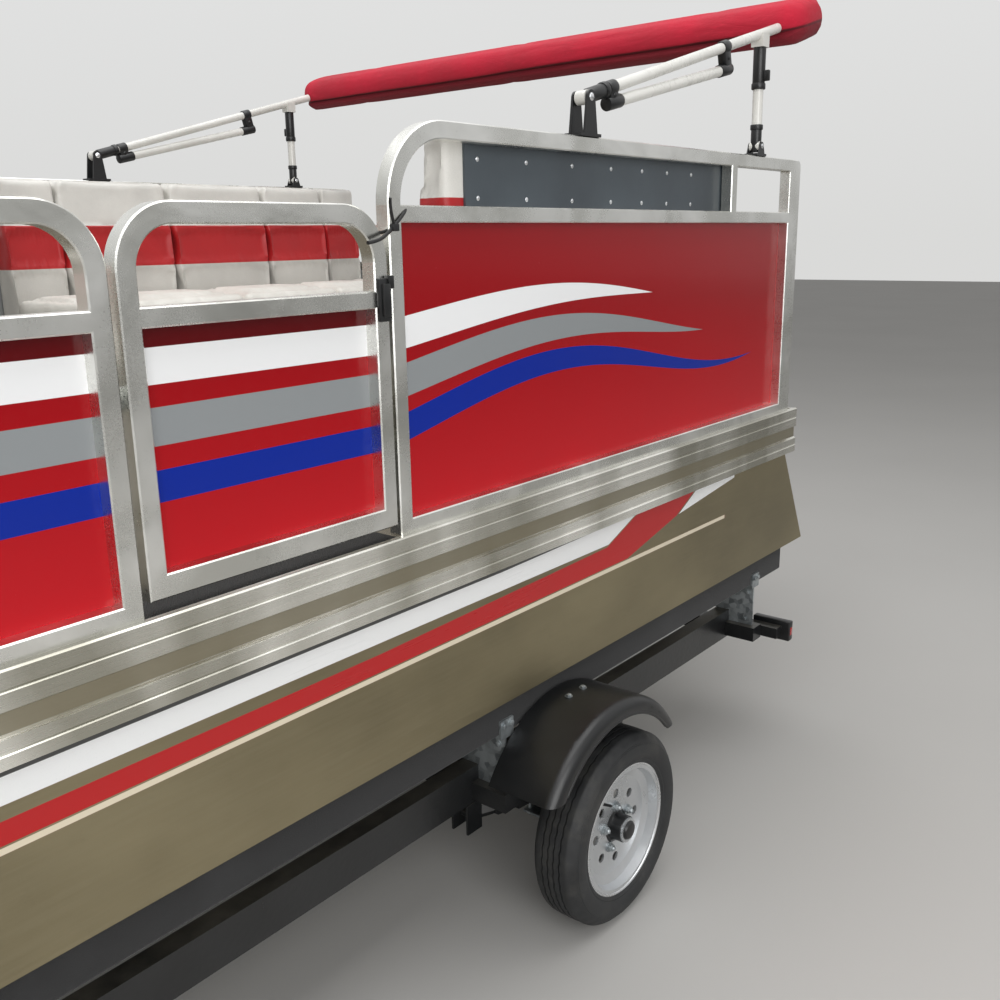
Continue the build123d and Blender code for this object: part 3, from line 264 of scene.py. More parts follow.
def millMetal(name, light=(242, 242, 238), dark=(208, 208, 202)):
    # extruded aluminium: wide cloudy areas, fine grain, a few small scuffs
    p = Paint(name).where()
    cloud = p.noise(5, 3.0, rough=0.5, bend=0.5)
    grain = p.noise(240, 3.0)
    scuff = p.noise(60, 6.0, rough=0.75)
    colour = p.tones(cloud, dark, light, 0.34, 0.66)
    colour = p.over(colour, p.level(scuff, 0.6, 0.76, 0.0, 0.3), (170, 170, 164))
    rough = p.level(cloud * 0.7 + grain * 0.3, 0.34, 0.66, 0.22, 0.34) + p.level(scuff, 0.6, 0.76, 0.0, 0.14)
    return p.shade(colour, rough, 1.0, p.bump(cloud * 4 + grain * 0.03 + scuff * 0.08, 0.0008))


def skirtMetal():
    # the same metal drawn along the boat, with the satin band in the recess
    p = Paint("deck skirt metal").where()
    lines = p.noise(160, 3.0, (0.04, 1, 1))
    # broad light and dark patches along the skirt: painted lamp reflections in the metal
    paintedReflections = p.noise(2.6, 3.0, (1, 0.3, 0.3), bend=0.3)
    colour = p.tones(paintedReflections, (172, 170, 158), (250, 249, 242), 0.4, 0.62)
    recess = p.z.inside(1.155, 1.191, 0.001)
    colour = p.over(colour, recess * 0.85, (150, 142, 120))
    rough = p.level(lines, 0.3, 0.7, 0.2, 0.34) + recess * 0.16
    return p.shade(colour, rough, 1.0, p.bump(lines, 0.0005, 0.6))


def hullMetal():
    # satin aluminium with the sprayed stripes on the outer sides; its tan tone is a painted reflection of a
    # tan floor
    p = Paint("pontoon metal").where()
    x = p.x - stern
    z = p.z
    lines = p.noise(120, 3.0, (0.05, 1, 1))
    cloud = p.noise(3.0, 4.0, (0.7, 1, 1))
    # tan tones: a painted reflection of a tan floor in the grey metal
    colour = p.tones(cloud, (128, 119, 94), (150, 140, 112))
    colour = p.over(colour, p.level(lines, 0.4, 0.7, 0.0, 0.12), (168, 160, 134))
    grime = p.noise(14, 6.0, rough=0.7)
    colour = p.over(colour, p.level(grime, 0.6, 0.8, 0.0, 0.3) * z.below(0.86, 0.3), (92, 86, 70))
    outer = abs(p.y).above(1.0, 0.01)
    shadow = p.level(x, 0.4, 1.6, 1.091, 1.068)
    white = z.above(1.0225) * (x + (z - 1.023) * 2.53).above(1.139, 0.002)
    red = z.above(0.9585) * (x + (z - 0.957) * 4.26).above(1.05, 0.002)
    red = red * (x + (z - 1.022) * 1.96).above(0.773, 0.002)
    gap = z.above(p.level(x, 1.1, 2.0, 1.0175, 0.998)) * (x + (z - 1.023) * 2.53).above(1.131, 0.002)
    red = red * (1 - gap)
    wedge = (z - (0.773 - x) * 0.1219).above(1.022) * (x + (z - 1.022) * 1.96).below(0.763, 0.002)
    wedge = wedge * x.above(0.4)
    line = z.inside(0.944, 0.9555) * x.above(0.458, 0.01)
    paintOn = outer * white.either(red).either(wedge).either(line)
    stripe = p.mix(white.either(wedge), tint(184, 18, 22), tint(246, 247, 247))
    stripe = p.mix(line, stripe, tint(226, 214, 190))
    speck = p.noise(400, 2.0)
    stripe = p.mix(p.level(speck, 0.62, 0.75, 0.0, 0.1), stripe, tint(120, 110, 100))
    colour = p.mix(paintOn, colour, stripe)
    # painted shadow: the outer sides go near black above this edge, under the skirt
    colour = p.over(colour, outer * z.above(shadow, 0.001) * 0.94, (24, 23, 21))
    metal = 0.85 - paintOn * 0.85
    rough = p.level(cloud * 0.5 + lines * 0.5, 0.3, 0.7, 0.38, 0.5) - paintOn * 0.14
    return p.shade(colour, rough, metal, p.bump(lines * 0.5 + p.noise(9, 3.0), 0.0006))


def panelPaint():
    # gloss sheets: straight bands ahead of the raised fence, tapering waves on it, plain inside and astern
    p = Paint("striped panel").where()
    x = p.x - stern
    z = p.z
    # the red is darker towards the top as painted shade and lighter low down as a painted reflection
    body = p.tones(z + p.noise(1.5, 2.0) * 0.1, (188, 12, 26), (150, 6, 16), 1.32, 1.72)
    white, grey, blue = tint(240, 241, 242), tint(142, 146, 148), tint(2, 38, 148)
    bands = p.mix(z.inside(1.616, 1.6745), body, white)
    # painted shadow of the rail: dark maroon from the white band up to the rail
    bands = p.mix(z.above(1.6745), bands, tint(92, 4, 10))
    bands = p.mix(z.inside(1.518, 1.58), bands, grey)
    bands = p.mix(z.inside(1.426, 1.479), bands, blue)
    # the waves on the raised fence: each starts as a band at the gate and thins out towards the stern
    along = p.level(x, 1.963, 0.163)
    swell = (along * 6.4 - 0.5).sine()
    waves = body
    for low, high, reach, lift, colour in (
        (1.616, 1.6745, 0.56, 0.03, white), (1.518, 1.58, 0.72, 0.042, grey), (1.426, 1.479, 0.9, 0.055, blue),
    ):
        middle = (low + high) / 2 + swell * lift + lift * 0.48 + along * 0.04
        half = (high - low) * 0.54 * (1 - (along / reach) ** 2.4)
        waves = p.mix(half.above(0.0, 0.0003) * (half - abs(z - middle)).above(0.0), waves, colour)
    raised = x.below(1.955, 0.002)
    sides = abs(p.y).above(1.0445, 0.0004)
    bow = x.above(5.2685, 0.0006) * abs(p.y).below(1.05, 0.001)
    colour = p.mix(raised, bands, waves)
    sternFace = x.below(0.1305, 0.0006)
    colour = p.mix(sides.either(bow), p.mix(sternFace, tint(158, 160, 160), body), colour)
    dust = p.noise(60, 5.0, rough=0.7)
    rough = p.level(dust, 0.35, 0.75, 0.16, 0.28)
    wave = p.bump(p.noise(2.2, 2.0), 0.004, 0.5)
    return p.shade(colour, rough, 0.0, wave, specular_ior_level=0.28, coat_weight=0.08, coat_roughness=0.06)


def vinyl(name, light=(226, 224, 217), dark=(210, 207, 199), bands=()):
    # coated upholstery cloth with a fine pebble grain; bands are low, high and colour by height
    p = Paint(name).where()
    grain = p.cells(520, "SMOOTH_F1")
    fine = p.noise(900, 2.0)
    cloud = p.noise(7, 4.0)
    colour = p.tones(cloud, dark, light)
    for low, high, paint in bands:
        band = p.mix(p.level(cloud), tint(*[c * 0.92 for c in paint]), tint(*paint))
        colour = p.mix(p.z.inside(low, high, 0.0015), colour, band)
    colour = p.over(colour, p.level(grain, 0.0, 0.5, 0.12, 0.0), (120, 116, 110))
    rough = p.level(cloud, 0.3, 0.7, 0.38, 0.5)
    crease = p.noise(11, 5.0, rough=0.6, bend=0.6)
    under = p.bump(crease, 0.003, 0.6)
    return p.shade(colour, rough, 0.0, p.bump(grain * 0.7 + fine * 0.3, 0.0004, 0.8, under), sheen_weight=0.05)


def moulded(name, light, dark, rough=0.45, stipple=260, depth=0.0003, coat=0.0, metal=0.0):
    # moulded plastic or plain paint: stipple, slight colour drift and a few rubbed spots
    p = Paint(name).where()
    cloud = p.noise(5, 4.0)
    pits = p.noise(stipple, 3.0)
    rub = p.noise(38, 6.0, rough=0.8)
    colour = p.tones(cloud, dark, light)
    colour = p.over(colour, p.level(rub, 0.64, 0.8, 0.0, 0.35), [min(255, c * 1.25 + 14) for c in light])
    shine = p.level(cloud * 0.5 + rub * 0.5, 0.35, 0.65, rough - 0.06, rough + 0.08)
    return p.shade(colour, shine, metal, p.bump(pits, depth, 0.7), coat_weight=coat, coat_roughness=0.12)


def blackPaint():
    # trailer paint: semi-gloss black with floor dust on what faces up
    p = Paint("trailer black").where()
    cloud = p.noise(6, 5.0)
    speck = p.noise(180, 4.0, rough=0.8)
    normal = p.node("ShaderNodeNewGeometry", out="Normal")
    upward = p.node("ShaderNodeSeparateXYZ", inputs=[normal], out="Z")
    dust = p.level(upward, 0.2, 1.0) * p.level(p.noise(9, 6.0, rough=0.7), 0.35, 0.7, 0.08, 0.4)
    colour = p.tones(cloud, (17, 18, 19), (27, 28, 29))
    colour = p.over(colour, p.level(speck, 0.66, 0.8, 0.0, 0.5), (96, 96, 92))
    colour = p.over(colour, dust, (112, 108, 98))
    rough = p.level(cloud, 0.3, 0.7, 0.26, 0.4) + dust * 0.5
    return p.shade(colour, rough, 0.0, p.bump(p.noise(70, 4.0), 0.0005), coat_weight=0.2, coat_roughness=0.2)


def zinc():
    # hot-dip galvanising: large angular spangles
    p = Paint("galvanised steel").where()
    spangle = p.cells(55, out="Color")
    shadeOf = p.node("ShaderNodeSeparateColor", inputs=[spangle], out="Red")
    cloud = p.noise(20, 4.0)
    colour = p.tones(shadeOf, (132, 138, 141), (184, 190, 192), 0.0, 1.0)
    colour = p.over(colour, p.level(cloud, 0.5, 0.8, 0.0, 0.4), (118, 120, 118))
    return p.shade(colour, p.level(shadeOf, 0.0, 1.0, 0.34, 0.52), 0.8, p.bump(cloud, 0.0006))


boot = {
    "x": aft(0.165), "z": 2.455, "radius": 0.0645, "flat": 0.058, "tilt": 0.271, "half": 1.115,
    "rings": 170, "sides": 64, "straps": (-0.78, 0.0, 0.78), "fold": -0.014,
}


def cloth(name, light, dark, thread=0.0016):
    # plain weave canvas: threads both ways, slubs and broad fading
    p = Paint(name).where()
    weave = (p.y * (2 * pi / thread)).sine() * ((p.z + p.x * 0.35) * (2 * pi / thread)).sine()
    slub = p.noise(240, 3.0, (1, 0.15, 1))
    fade = p.noise(4.5, 5.0)
    colour = p.tones(fade, dark, light)
    colour = p.over(colour, p.level(weave, -1.0, 1.0, 0.16, 0.0), [c * 0.45 for c in dark])
    colour = p.over(colour, p.level(slub, 0.55, 0.8, 0.0, 0.25), [min(255, c * 1.2 + 10) for c in light])
    # below the long fold the sleeve turns under: painted shade darkens the under part and a painted shadow
    # lines the crease
    high = (p.z - boot["z"]) * cos(boot["tilt"]) + (p.x - boot["x"]) * sin(boot["tilt"])
    fold = boot["fold"] + (p.y * 2.1).sine() * 0.004 + (p.y * 7.3).sine() * 0.0015
    under = (high - fold).below(0.0, 0.004)
    crease = (high - fold).inside(-0.0035, 0.0035, 0.003)
    colour = p.over(colour, under * 0.75, [c * 0.5 for c in dark])
    colour = p.over(colour, crease * 0.7, [c * 0.25 for c in dark])
    folds = p.bump(p.noise(13, 6.0, (1.4, 0.5, 1.4), 0.62, 0.8), 0.008, 0.7)
    rough = p.level(fade, 0.3, 0.7, 0.72, 0.86)
    return p.shade(colour, rough, 0.0, p.bump(weave * 0.5 + slub, 0.0005, 0.8, folds), sheen_weight=0.04)


def carpet(name, light, dark, scale=420):
    # short pile
    p = Paint(name).where()
    pile = p.noise(scale, 4.0, rough=0.8)
    cloud = p.noise(6, 5.0)
    colour = p.tones(pile, dark, light)
    colour = p.over(colour, p.level(cloud, 0.55, 0.75, 0.0, 0.3), [min(255, c + 24) for c in light])
    return p.shade(colour, 0.92, 0.0, p.bump(pile, 0.002, 0.9), sheen_weight=0.15)


def floorCloth():
    # woven deck vinyl laid in planks of small twisted cords
    p = Paint("deck floor").where()
    cord = (p.x * 1400).sine() * (p.y * 1000).sine()
    plank = p.y.saw(0.18)
    seam = plank.below(0.0025, 0.001)
    fleck = p.noise(320, 3.0)
    wide = p.noise(2.5, 4.0)
    colour = p.tones(fleck, (116, 108, 94), (158, 150, 134), 0.35, 0.65)
    colour = p.over(colour, p.level(wide, 0.3, 0.7, 0.0, 0.3), (134, 128, 116))
    colour = p.over(colour, p.level(cord, -1.0, 1.0, 0.25, 0.0), (78, 72, 62))
    colour = p.over(colour, seam * 0.6, (60, 56, 50))
    # painted shadow in the gap under the side gate, dark across its opening
    gateGapShadow = (p.x - stern).inside(1.97, 2.72, 0.002) * p.y.above(0.93, 0.002)
    colour = p.over(colour, gateGapShadow, (22, 21, 20))
    rough = p.level(fleck, 0.3, 0.7, 0.6, 0.78)
    return p.shade(colour, rough, 0.0, p.bump(cord * 0.6 + fleck - seam, 0.0012, 0.8))


def clearSheet():
    p = Paint("smoked screen").where()
    haze = p.noise(30, 5.0)
    colour = p.tones(haze, (66, 76, 80), (78, 88, 92))
    rough = p.level(haze, 0.3, 0.7, 0.03, 0.08)
    return p.shade(colour, rough, 0.0, alpha=0.42, coat_weight=0.5, coat_roughness=0.03)


def tyreRubber():
    p = Paint("tyre rubber").where()
    cloud = p.noise(18, 5.0)
    fine = p.noise(500, 2.0)
    dust = p.noise(8, 6.0, rough=0.7)
    colour = p.tones(cloud, (28, 29, 30), (44, 45, 46))
    colour = p.over(colour, p.level(dust, 0.5, 0.75, 0.0, 0.4), (88, 86, 80))
    return p.shade(colour, p.level(cloud, 0.3, 0.7, 0.55, 0.72), 0.0, p.bump(fine, 0.0004, 0.6))


def lens(name, light, dark):
    # moulded lamp lens with upright ribs
    p = Paint(name).where()
    ribs = (p.y * 1250).sine()
    colour = p.tones(ribs, dark, light, -1.0, 1.0)
    rough = p.level(p.noise(60, 4.0), 0.3, 0.7, 0.1, 0.2)
    return p.shade(colour, rough, 0.0, p.bump(ribs, 0.0008, 0.6), coat_weight=0.6, coat_roughness=0.05)


white, red, paleGrey = (229, 227, 221), (180, 22, 28), (206, 204, 198)
backBands = ((1.2, 1.755, paleGrey), (1.755, 1.897, red), (1.897, 2.2, white))
loungeBands = ((1.2, 1.771, paleGrey), (1.771, 1.913, red), (1.913, 2.2, white))
finishes = {
    "bright": millMetal("bright metal"), "skirt": skirtMetal(), "hull": hullMetal(), "panel": panelPaint(),
    "deck": floorCloth(), "seat": vinyl("pale vinyl"), "back": vinyl("banded vinyl", bands=backBands),
    "lounge": vinyl("banded lounge vinyl", bands=loungeBands),
    "base": moulded("pale moulding", (214, 211, 203), (200, 197, 189)),
    "shell": moulded("charcoal shell", (72, 80, 86), (60, 67, 73), 0.4),
    "screen": clearSheet(), "grip": moulded("black grip", (30, 30, 31), (20, 20, 21), 0.6, 500, 0.0005),
    "black": moulded("black moulding", (26, 27, 28), (15, 16, 17), 0.34),
    "white tube": moulded("white coated tube", (228, 227, 222), (212, 211, 205), 0.26, 180, 0.0002, 0.3),
    "canvas": cloth("red canvas", (208, 20, 54), (180, 12, 42)),
    "trailer": blackPaint(),
    "cowl": moulded("cowl black", (24, 25, 28), (14, 15, 17), 0.2, 90, 0.0001, 0.7),
    "engine": moulded("engine black", (34, 35, 37), (22, 23, 25), 0.32, 140, 0.0004, 0.2),
    "dark metal": moulded("dark cast metal", (52, 54, 57), (36, 38, 41), 0.34, 160, 0.0003, 0.0, 0.7),
    "zinc": zinc(), "carpet": carpet("bunk carpet", (34, 34, 35), (16, 16, 17)),
    "lamp": lens("red lens", (176, 16, 18), (96, 4, 6)),
    "amber": lens("amber lens", (214, 120, 20), (150, 70, 8)),
    "rim": moulded("silver wheel paint", (206, 208, 210), (184, 187, 189), 0.3, 300, 0.0002, 0.2, 0.7),
    "tyre": tyreRubber(),
    "glass dial": moulded("dial face", (22, 22, 24), (14, 14, 16), 0.12, 60, 0.0001, 0.8),
    "chrome": millMetal("polished steel", light=(232, 234, 236), dark=(212, 214, 216)),
    "green": lens("green lens", (16, 140, 70), (4, 80, 34)),
    "strap": moulded("winch strap", (190, 160, 60), (160, 134, 44), 0.8, 600, 0.0006),
}
nodeFinish = {
    "hull": ("pontoon_port", "pontoon_starboard", "motor_pod"),
    "bright": (
        "fence_port_aft_frame", "fence_port_fwd_frame", "fence_starboard_aft_frame",
        "fence_starboard_fwd_frame", "fence_end_frames", "gate_side_frame", "gate_bow_frame", "gate_hinges",
        "helm_pedestal", "cross_beams",
    ),
    "skirt": ("deck_skirt",),
    "panel": (
        "fence_port_panels", "fence_starboard_panels", "fence_end_panels", "gate_side_panel", "gate_bow_panel",
    ),
    "deck": ("deck",), "base": ("seat_bases", "helm_console", "helm_chair_shell"),
    "shell": ("lounge_back_shell",),
    "screen": ("windscreen",), "grip": ("steering_wheel",), "black": ("canopy_mounts", "trailer_fenders"),
    "white tube": ("canopy_frame", "canopy_strut_port", "canopy_strut_starboard"),
    "cowl": ("outboard_cowl",), "engine": ("outboard_clamp", "outboard_swivel", "outboard_leg"),
    "dark metal": ("propeller",),
    "trailer": (
        "trailer_side_beams", "trailer_cross_members", "trailer_tongue", "coupler", "winch_stand",
        "trailer_axle",
    ),
    "zinc": ("trailer_jack", "bunk_brackets"), "carpet": ("trailer_bunks",), "lamp": ("tail_lamps",),
    "rim": ("wheel_rim_port", "wheel_rim_starboard"), "tyre": ("tyre_port", "tyre_starboard"),
    "seat": ("bench_aft_cushion", "lounge_aft_cushion", "bench_fwd_cushion", "helm_chair_seat"),
    "back": ("bench_aft_back", "bench_fwd_back", "helm_chair_back"), "lounge": ("lounge_aft_back",),
    "canvas": ("canopy_boot",),
}
for finish, names in nodeFinish.items():
    for name in names:
        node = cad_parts[name]
        node.data.materials.clear()
        node.data.materials.append(finishes[finish].made)
print("finishes made and laid on the packed pieces")


# tools for the added pieces

def only(piece):
    bpy.ops.object.select_all(action="DESELECT")
    piece.select_set(True)
    bpy.context.view_layer.objects.active = piece


def settle(piece):
    # the piece's place goes into its mesh
    only(piece)
    bpy.ops.object.transform_apply(location=True, rotation=True, scale=True)
    return piece


def pick(piece, test, kind="FACE"):
    # selects by place or direction, in edit mode
    bpy.context.tool_settings.mesh_select_mode = (kind == "VERT", kind == "EDGE", kind == "FACE")
    mesh = bmesh.from_edit_mesh(piece.data)
    for group in (mesh.faces, mesh.edges, mesh.verts):
        for item in group:
            item.select_set(False)
    for item in {"VERT": mesh.verts, "EDGE": mesh.edges, "FACE": mesh.faces}[kind]:
        if test(item):
            item.select_set(True)
    mesh.select_flush_mode()
    bmesh.update_edit_mesh(piece.data)


def facing(place, direction, spin=0.0):
    # a place for a small part that stands on a surface, its own z along the direction
    turn = Vector(direction).to_track_quat("Z", "Y").to_matrix().to_4x4()
    return Matrix.Translation(place) @ turn @ Matrix.Rotation(spin, 4, "Z")


def edit(piece, on=True):
    if on:
        only(piece)
    bpy.ops.object.mode_set(mode="EDIT" if on else "OBJECT")


def worked(piece, name, kind, **settings):
    # a modifier, applied at once
    only(piece)
    step = piece.modifiers.new(name, kind)
    for key, value in settings.items():
        setattr(step, key, value)
    bpy.ops.object.modifier_apply(modifier=step.name)
    return piece


def smooth(piece, angle=35):
    only(piece)
    bpy.ops.object.shade_smooth_by_angle(angle=radians(angle))
    return piece


def placed(piece, place):
    piece.matrix_world = place
    return settle(piece)


def slab(low, high, soft=0.003, steps=2):
    # a box between two corners with its edges rounded
    middle = [(a + b) / 2 for a, b in zip(low, high)]
    bpy.ops.mesh.primitive_cube_add(size=1, location=middle)
    piece = bpy.context.object
    piece.scale = [abs(b - a) for a, b in zip(low, high)]
    settle(piece)
    if soft:
        worked(piece, "edges", "BEVEL", width=soft, segments=steps, limit_method="ANGLE")
    return piece


def rod(start, end, radius, sides=20, soft=0.0, tip=None):
    # a round bar between two points, narrower at its end where tip is given
    start, end = Vector(start), Vector(end)
    along = end - start
    bpy.ops.mesh.primitive_cone_add(
        vertices=sides, radius1=radius, radius2=radius if tip is None else tip, depth=along.length,
        location=(start + end) / 2, rotation=along.to_track_quat("Z", "Y").to_euler(),
    )
    piece = settle(bpy.context.object)
    if soft:
        worked(piece, "edges", "BEVEL", width=soft, segments=2, limit_method="ANGLE", angle_limit=radians(50))
    return piece


def hose(points, radius, sides=10, closed=False):
    # a round line through a few points
    curve = bpy.data.curves.new("hose", "CURVE")
    curve.dimensions = "3D"
    line = curve.splines.new("NURBS")
    line.points.add(len(points) - 1)
    for point, place in zip(line.points, points):
        point.co = (*place, 1)
    line.order_u = 3
    line.use_endpoint_u = not closed
    line.use_cyclic_u = closed
    line.resolution_u = 6
    curve.bevel_depth = radius
    curve.bevel_resolution = max(1, sides // 4)
    curve.use_fill_caps = True
    piece = bpy.data.objects.new("hose", curve)
    bpy.context.scene.collection.objects.link(piece)
    only(piece)
    bpy.ops.object.convert(target="MESH")
    return bpy.context.object


def turned(name, profile, sides=48, centre=(0, 0, 0), axis=(0, 0, 1)):
    # a profile of radius and height, spun round an axis through a centre
    bpy.ops.mesh.primitive_plane_add(size=1)
    piece = bpy.context.object
    piece.name = name
    edit(piece)
    bpy.ops.mesh.delete(type="VERT")
    mesh = bmesh.from_edit_mesh(piece.data)
    points = [mesh.verts.new((radius, 0, height)) for radius, height in profile]
    for first, second in zip(points, points[1:]):
        mesh.edges.new((first, second))
    bmesh.update_edit_mesh(piece.data)
    bpy.ops.mesh.select_all(action="SELECT")
    bpy.ops.mesh.spin(steps=sides, angle=2 * pi, center=(0, 0, 0), axis=(0, 0, 1))
    bpy.ops.mesh.select_all(action="SELECT")
    bpy.ops.mesh.remove_doubles(threshold=0.00005)
    bpy.ops.mesh.normals_make_consistent(inside=False)
    edit(piece, False)
    return placed(piece, facing(centre, axis))


def joined(name, pieces):
    # several shapes as one mesh
    bpy.ops.object.select_all(action="DESELECT")
    for piece in pieces:
        piece.select_set(True)
    bpy.context.view_layer.objects.active = pieces[0]
    bpy.ops.object.join()
    pieces[0].name = name
    pieces[0].data.name = name
    return pieces[0]


def copies(name, pattern, places):
    # the same shape at many places, as one mesh; each place is a matrix
    mesh = bmesh.new()
    for place in places:
        data = pattern.data.copy()
        data.transform(place)
        if place.determinant() < 0:
            data.flip_normals()
        mesh.from_mesh(data)
        bpy.data.meshes.remove(data)
    made = bpy.data.meshes.new(name)
    mesh.to_mesh(made)
    mesh.free()
    piece = bpy.data.objects.new(name, made)
    bpy.context.scene.collection.objects.link(piece)
    bpy.data.objects.remove(pattern)
    return piece


def dress(piece, finish, body=hull, slot=None, instead=(), angle=35):
    # finish, shading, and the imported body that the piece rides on
    piece.data.materials.clear()
    piece.data.materials.append(finishes[finish].made)
    smooth(piece, angle)
    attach(piece, body)
    if instead:
        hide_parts(*instead)
    return piece


def built(name, finish, shapes, body=hull, **more):
    return dress(joined(name, shapes), finish, body, **more)


def spread(name, finish, pattern, places, body=hull):
    return dress(copies(name, pattern, places), finish, body)


# upholstery

padding = {"cell": 0.0125, "swell": 0.01, "press": 5.0, "frames": 14}


def fineBlock(name, size, roundness, cell):
    # a box of even small faces with rounded edges, its foot at z 0
    bpy.ops.mesh.primitive_cube_add(size=1, location=(0, 0, 0.5))
    piece = bpy.context.object
    piece.name = name
    settle(piece)
    for axis in range(3):
        edit(piece)
        pick(piece, lambda e, a=axis: abs((e.verts[1].co - e.verts[0].co)[a]) > 0.9, "EDGE")
        bpy.ops.mesh.subdivide(number_cuts=max(2, round(size[axis] / cell) - 1))
        edit(piece, False)
    for vert in piece.data.vertices:
        point = Vector((vert.co.x * size[0], vert.co.y * size[1], vert.co.z * size[2]))
        inner = Vector((
            max(-size[0] / 2 + roundness, min(size[0] / 2 - roundness, point.x)),
            max(-size[1] / 2 + roundness, min(size[1] / 2 - roundness, point.y)),
            max(roundness, min(size[2] - roundness, point.z)),
        ))
        out = point - inner
        vert.co = inner + out.normalized() * roundness if out.length > 1e-7 else point
    return piece


def puffed(piece, sewn, cap=None):
    # the cover swells under its stuffing between the sewn points
    only(piece)
    rest = [vert.co.copy() for vert in piece.data.vertices]
    group = piece.vertex_groups.new(name="sewn")
    group.add([i for i, co in enumerate(rest) if sewn(co)], 1.0, "REPLACE")
    fabric = piece.modifiers.new("cover", "CLOTH")
    fabric.settings.quality = 5
    fabric.settings.mass = 0.3
    fabric.settings.tension_stiffness = 18
    fabric.settings.compression_stiffness = 12
    fabric.settings.bending_stiffness = 0.4
    fabric.settings.use_pressure = True
    fabric.settings.uniform_pressure_force = padding["press"]
    fabric.settings.vertex_group_mass = "sewn"
    fabric.settings.shrink_min = -0.02
    fabric.settings.effector_weights.gravity = 0
    for step in range(1, padding["frames"] + 1):
        bpy.context.scene.frame_set(step)
    swollen = piece.evaluated_get(bpy.context.evaluated_depsgraph_get()).to_mesh()
    moved = [vert.co.copy() for vert in swollen.vertices]
    piece.modifiers.clear()
    piece.vertex_groups.clear()
    bpy.context.scene.frame_set(1)
    limit = cap or padding["swell"]
    for vert, old, new in zip(piece.data.vertices, rest, moved):
        step = new - old
        if step.length > limit:
            step = step.normalized() * limit
        vert.co = old + step
    return piece


def groove(value, at, width):
    return 2.718 ** (-((value - at) / width) ** 2)


def fromEdge(co):
    return min(seatUnit["width"] / 2 - abs(co.x), seatUnit["depth"] / 2 - abs(co.y))


seatUnit = {"width": 0.5, "gap": 0.012, "depth": 0.392, "height": 0.112, "round": 0.03, "seam": 0.052}
size = (seatUnit["width"] - seatUnit["gap"], seatUnit["depth"], seatUnit["height"])
pad = fineBlock("seatPad", size, seatUnit["round"], padding["cell"])
for vert in pad.data.vertices:
    # the line sewn in from the edge of the top
    if vert.co.z > seatUnit["height"] - 0.02:
        vert.co.z -= 0.006 * groove(fromEdge(vert.co), seatUnit["seam"], 0.009)
puffed(pad, lambda co: co.z < 0.004 or (co.z > 0.09 and abs(fromEdge(co) - seatUnit["seam"]) < 0.007))

backUnit = {
    "width": 0.5, "gap": 0.006, "depth": 0.1, "height": 0.507, "foot": 0.106, "top": 0.077, "round": 0.026,
    "seams": (0.209, 0.351), "lean": 0.25,
}
size = (backUnit["width"] - backUnit["gap"], backUnit["depth"], backUnit["height"])
backPad = fineBlock("backPad", size, backUnit["round"], padding["cell"])
for vert in backPad.data.vertices:
    # y 0 at the wall, and the face leans back towards the top
    share = max(0.0, (vert.co.z / backUnit["height"] - backUnit["lean"]) / (1 - backUnit["lean"]))
    thick = backUnit["foot"] - (backUnit["foot"] - backUnit["top"]) * share
    vert.co.y = -(vert.co.y + backUnit["depth"] / 2) / backUnit["depth"] * thick
    if vert.co.y < -0.03:
        for seam in backUnit["seams"]:
            vert.co.y += 0.005 * groove(vert.co.z, seam, 0.008)
puffed(backPad, lambda co: co.y > -0.012 or co.z < 0.01 or (
    co.y < -0.04 and min(abs(co.z - seam) for seam in backUnit["seams"]) < 0.006
), 0.012)

# x edges of the sewn units of each seat, measured from the stern
benches = {
    "bench_aft": [(-1, (0.144, 0.329, 0.641, 1.079, 1.517, 1.717))],
    "lounge_aft": [(1, (0.503, 0.922, 1.341, 1.757))],
    "bench_fwd": [(-1, (3.553, 4.052, 4.551, 5.047)), (1, (2.723, 3.304, 3.885, 4.466, 5.047))],
}
# the wall behind the seats, the middle of a cushion and the feet of both, from the deck
seatAt = {
    "wall": deckHalf - tube - 0.008, "cushion": deckHalf - tube - 0.316,
    "cushionFoot": 0.298, "backFoot": 0.296,
}
for name, rows in benches.items():
    cushionPlaces = []
    backPlaces = []
    for side, joints in rows:
        for first, last in zip(joints, joints[1:]):
            middle = aft((first + last) / 2)
            share = (last - first) / seatUnit["width"]
            cushion = (middle, side * seatAt["cushion"], deckTop + seatAt["cushionFoot"])
            back = (middle, side * seatAt["wall"], deckTop + seatAt["backFoot"])
            cushionPlaces.append(Matrix.Translation(cushion) @ Matrix.Diagonal((share, -side, 1, 1)))
            backPlaces.append(Matrix.Translation(back) @ Matrix.Diagonal((share, side, 1, 1)))
    for part, pattern, places, finish in (
        ("cushion", pad, cushionPlaces, "seat"),
        ("back", backPad, backPlaces, "lounge" if name == "lounge_aft" else "back"),
    ):
        template = pattern.copy()
        template.data = pattern.data.copy()
        cover = copies(f"{name}_{part}_cover", template, places)
        dress(cover, finish, slot="pale_vinyl", instead=[f"{name}_{part}"], angle=60)
bpy.data.objects.remove(pad)
bpy.data.objects.remove(backPad)

# helm chair: seat and back with a rolled front and side bolsters
chair = {
    "x": aft(2.26), "y": -0.69, "z": deckTop + 0.33, "half": 0.206, "bolster": 0.135, "lean": 0.092,
    "seams": (0.12, 0.3),
}
chairPad = fineBlock("helm_seat_cover", (0.372, 0.412, 0.1), 0.034, 0.01)
for vert in chairPad.data.vertices:
    if vert.co.z > 0.05:
        across = abs(vert.co.y)
        rise = 0.012 * max(0.0, across / chair["half"] - 0.55)
        vert.co.z += rise - 0.006 * groove(across, chair["bolster"], 0.008)
puffed(chairPad, lambda co: co.z < 0.004 or (co.z > 0.07 and abs(abs(co.y) - chair["bolster"]) < 0.006), 0.008)
chairPad.data.transform(Matrix.Translation((chair["x"] + 0.04, chair["y"], chair["z"] + 0.0235)))
dress(chairPad, "seat", "helm_chair", "pale_vinyl", ["helm_chair_seat"], 60)

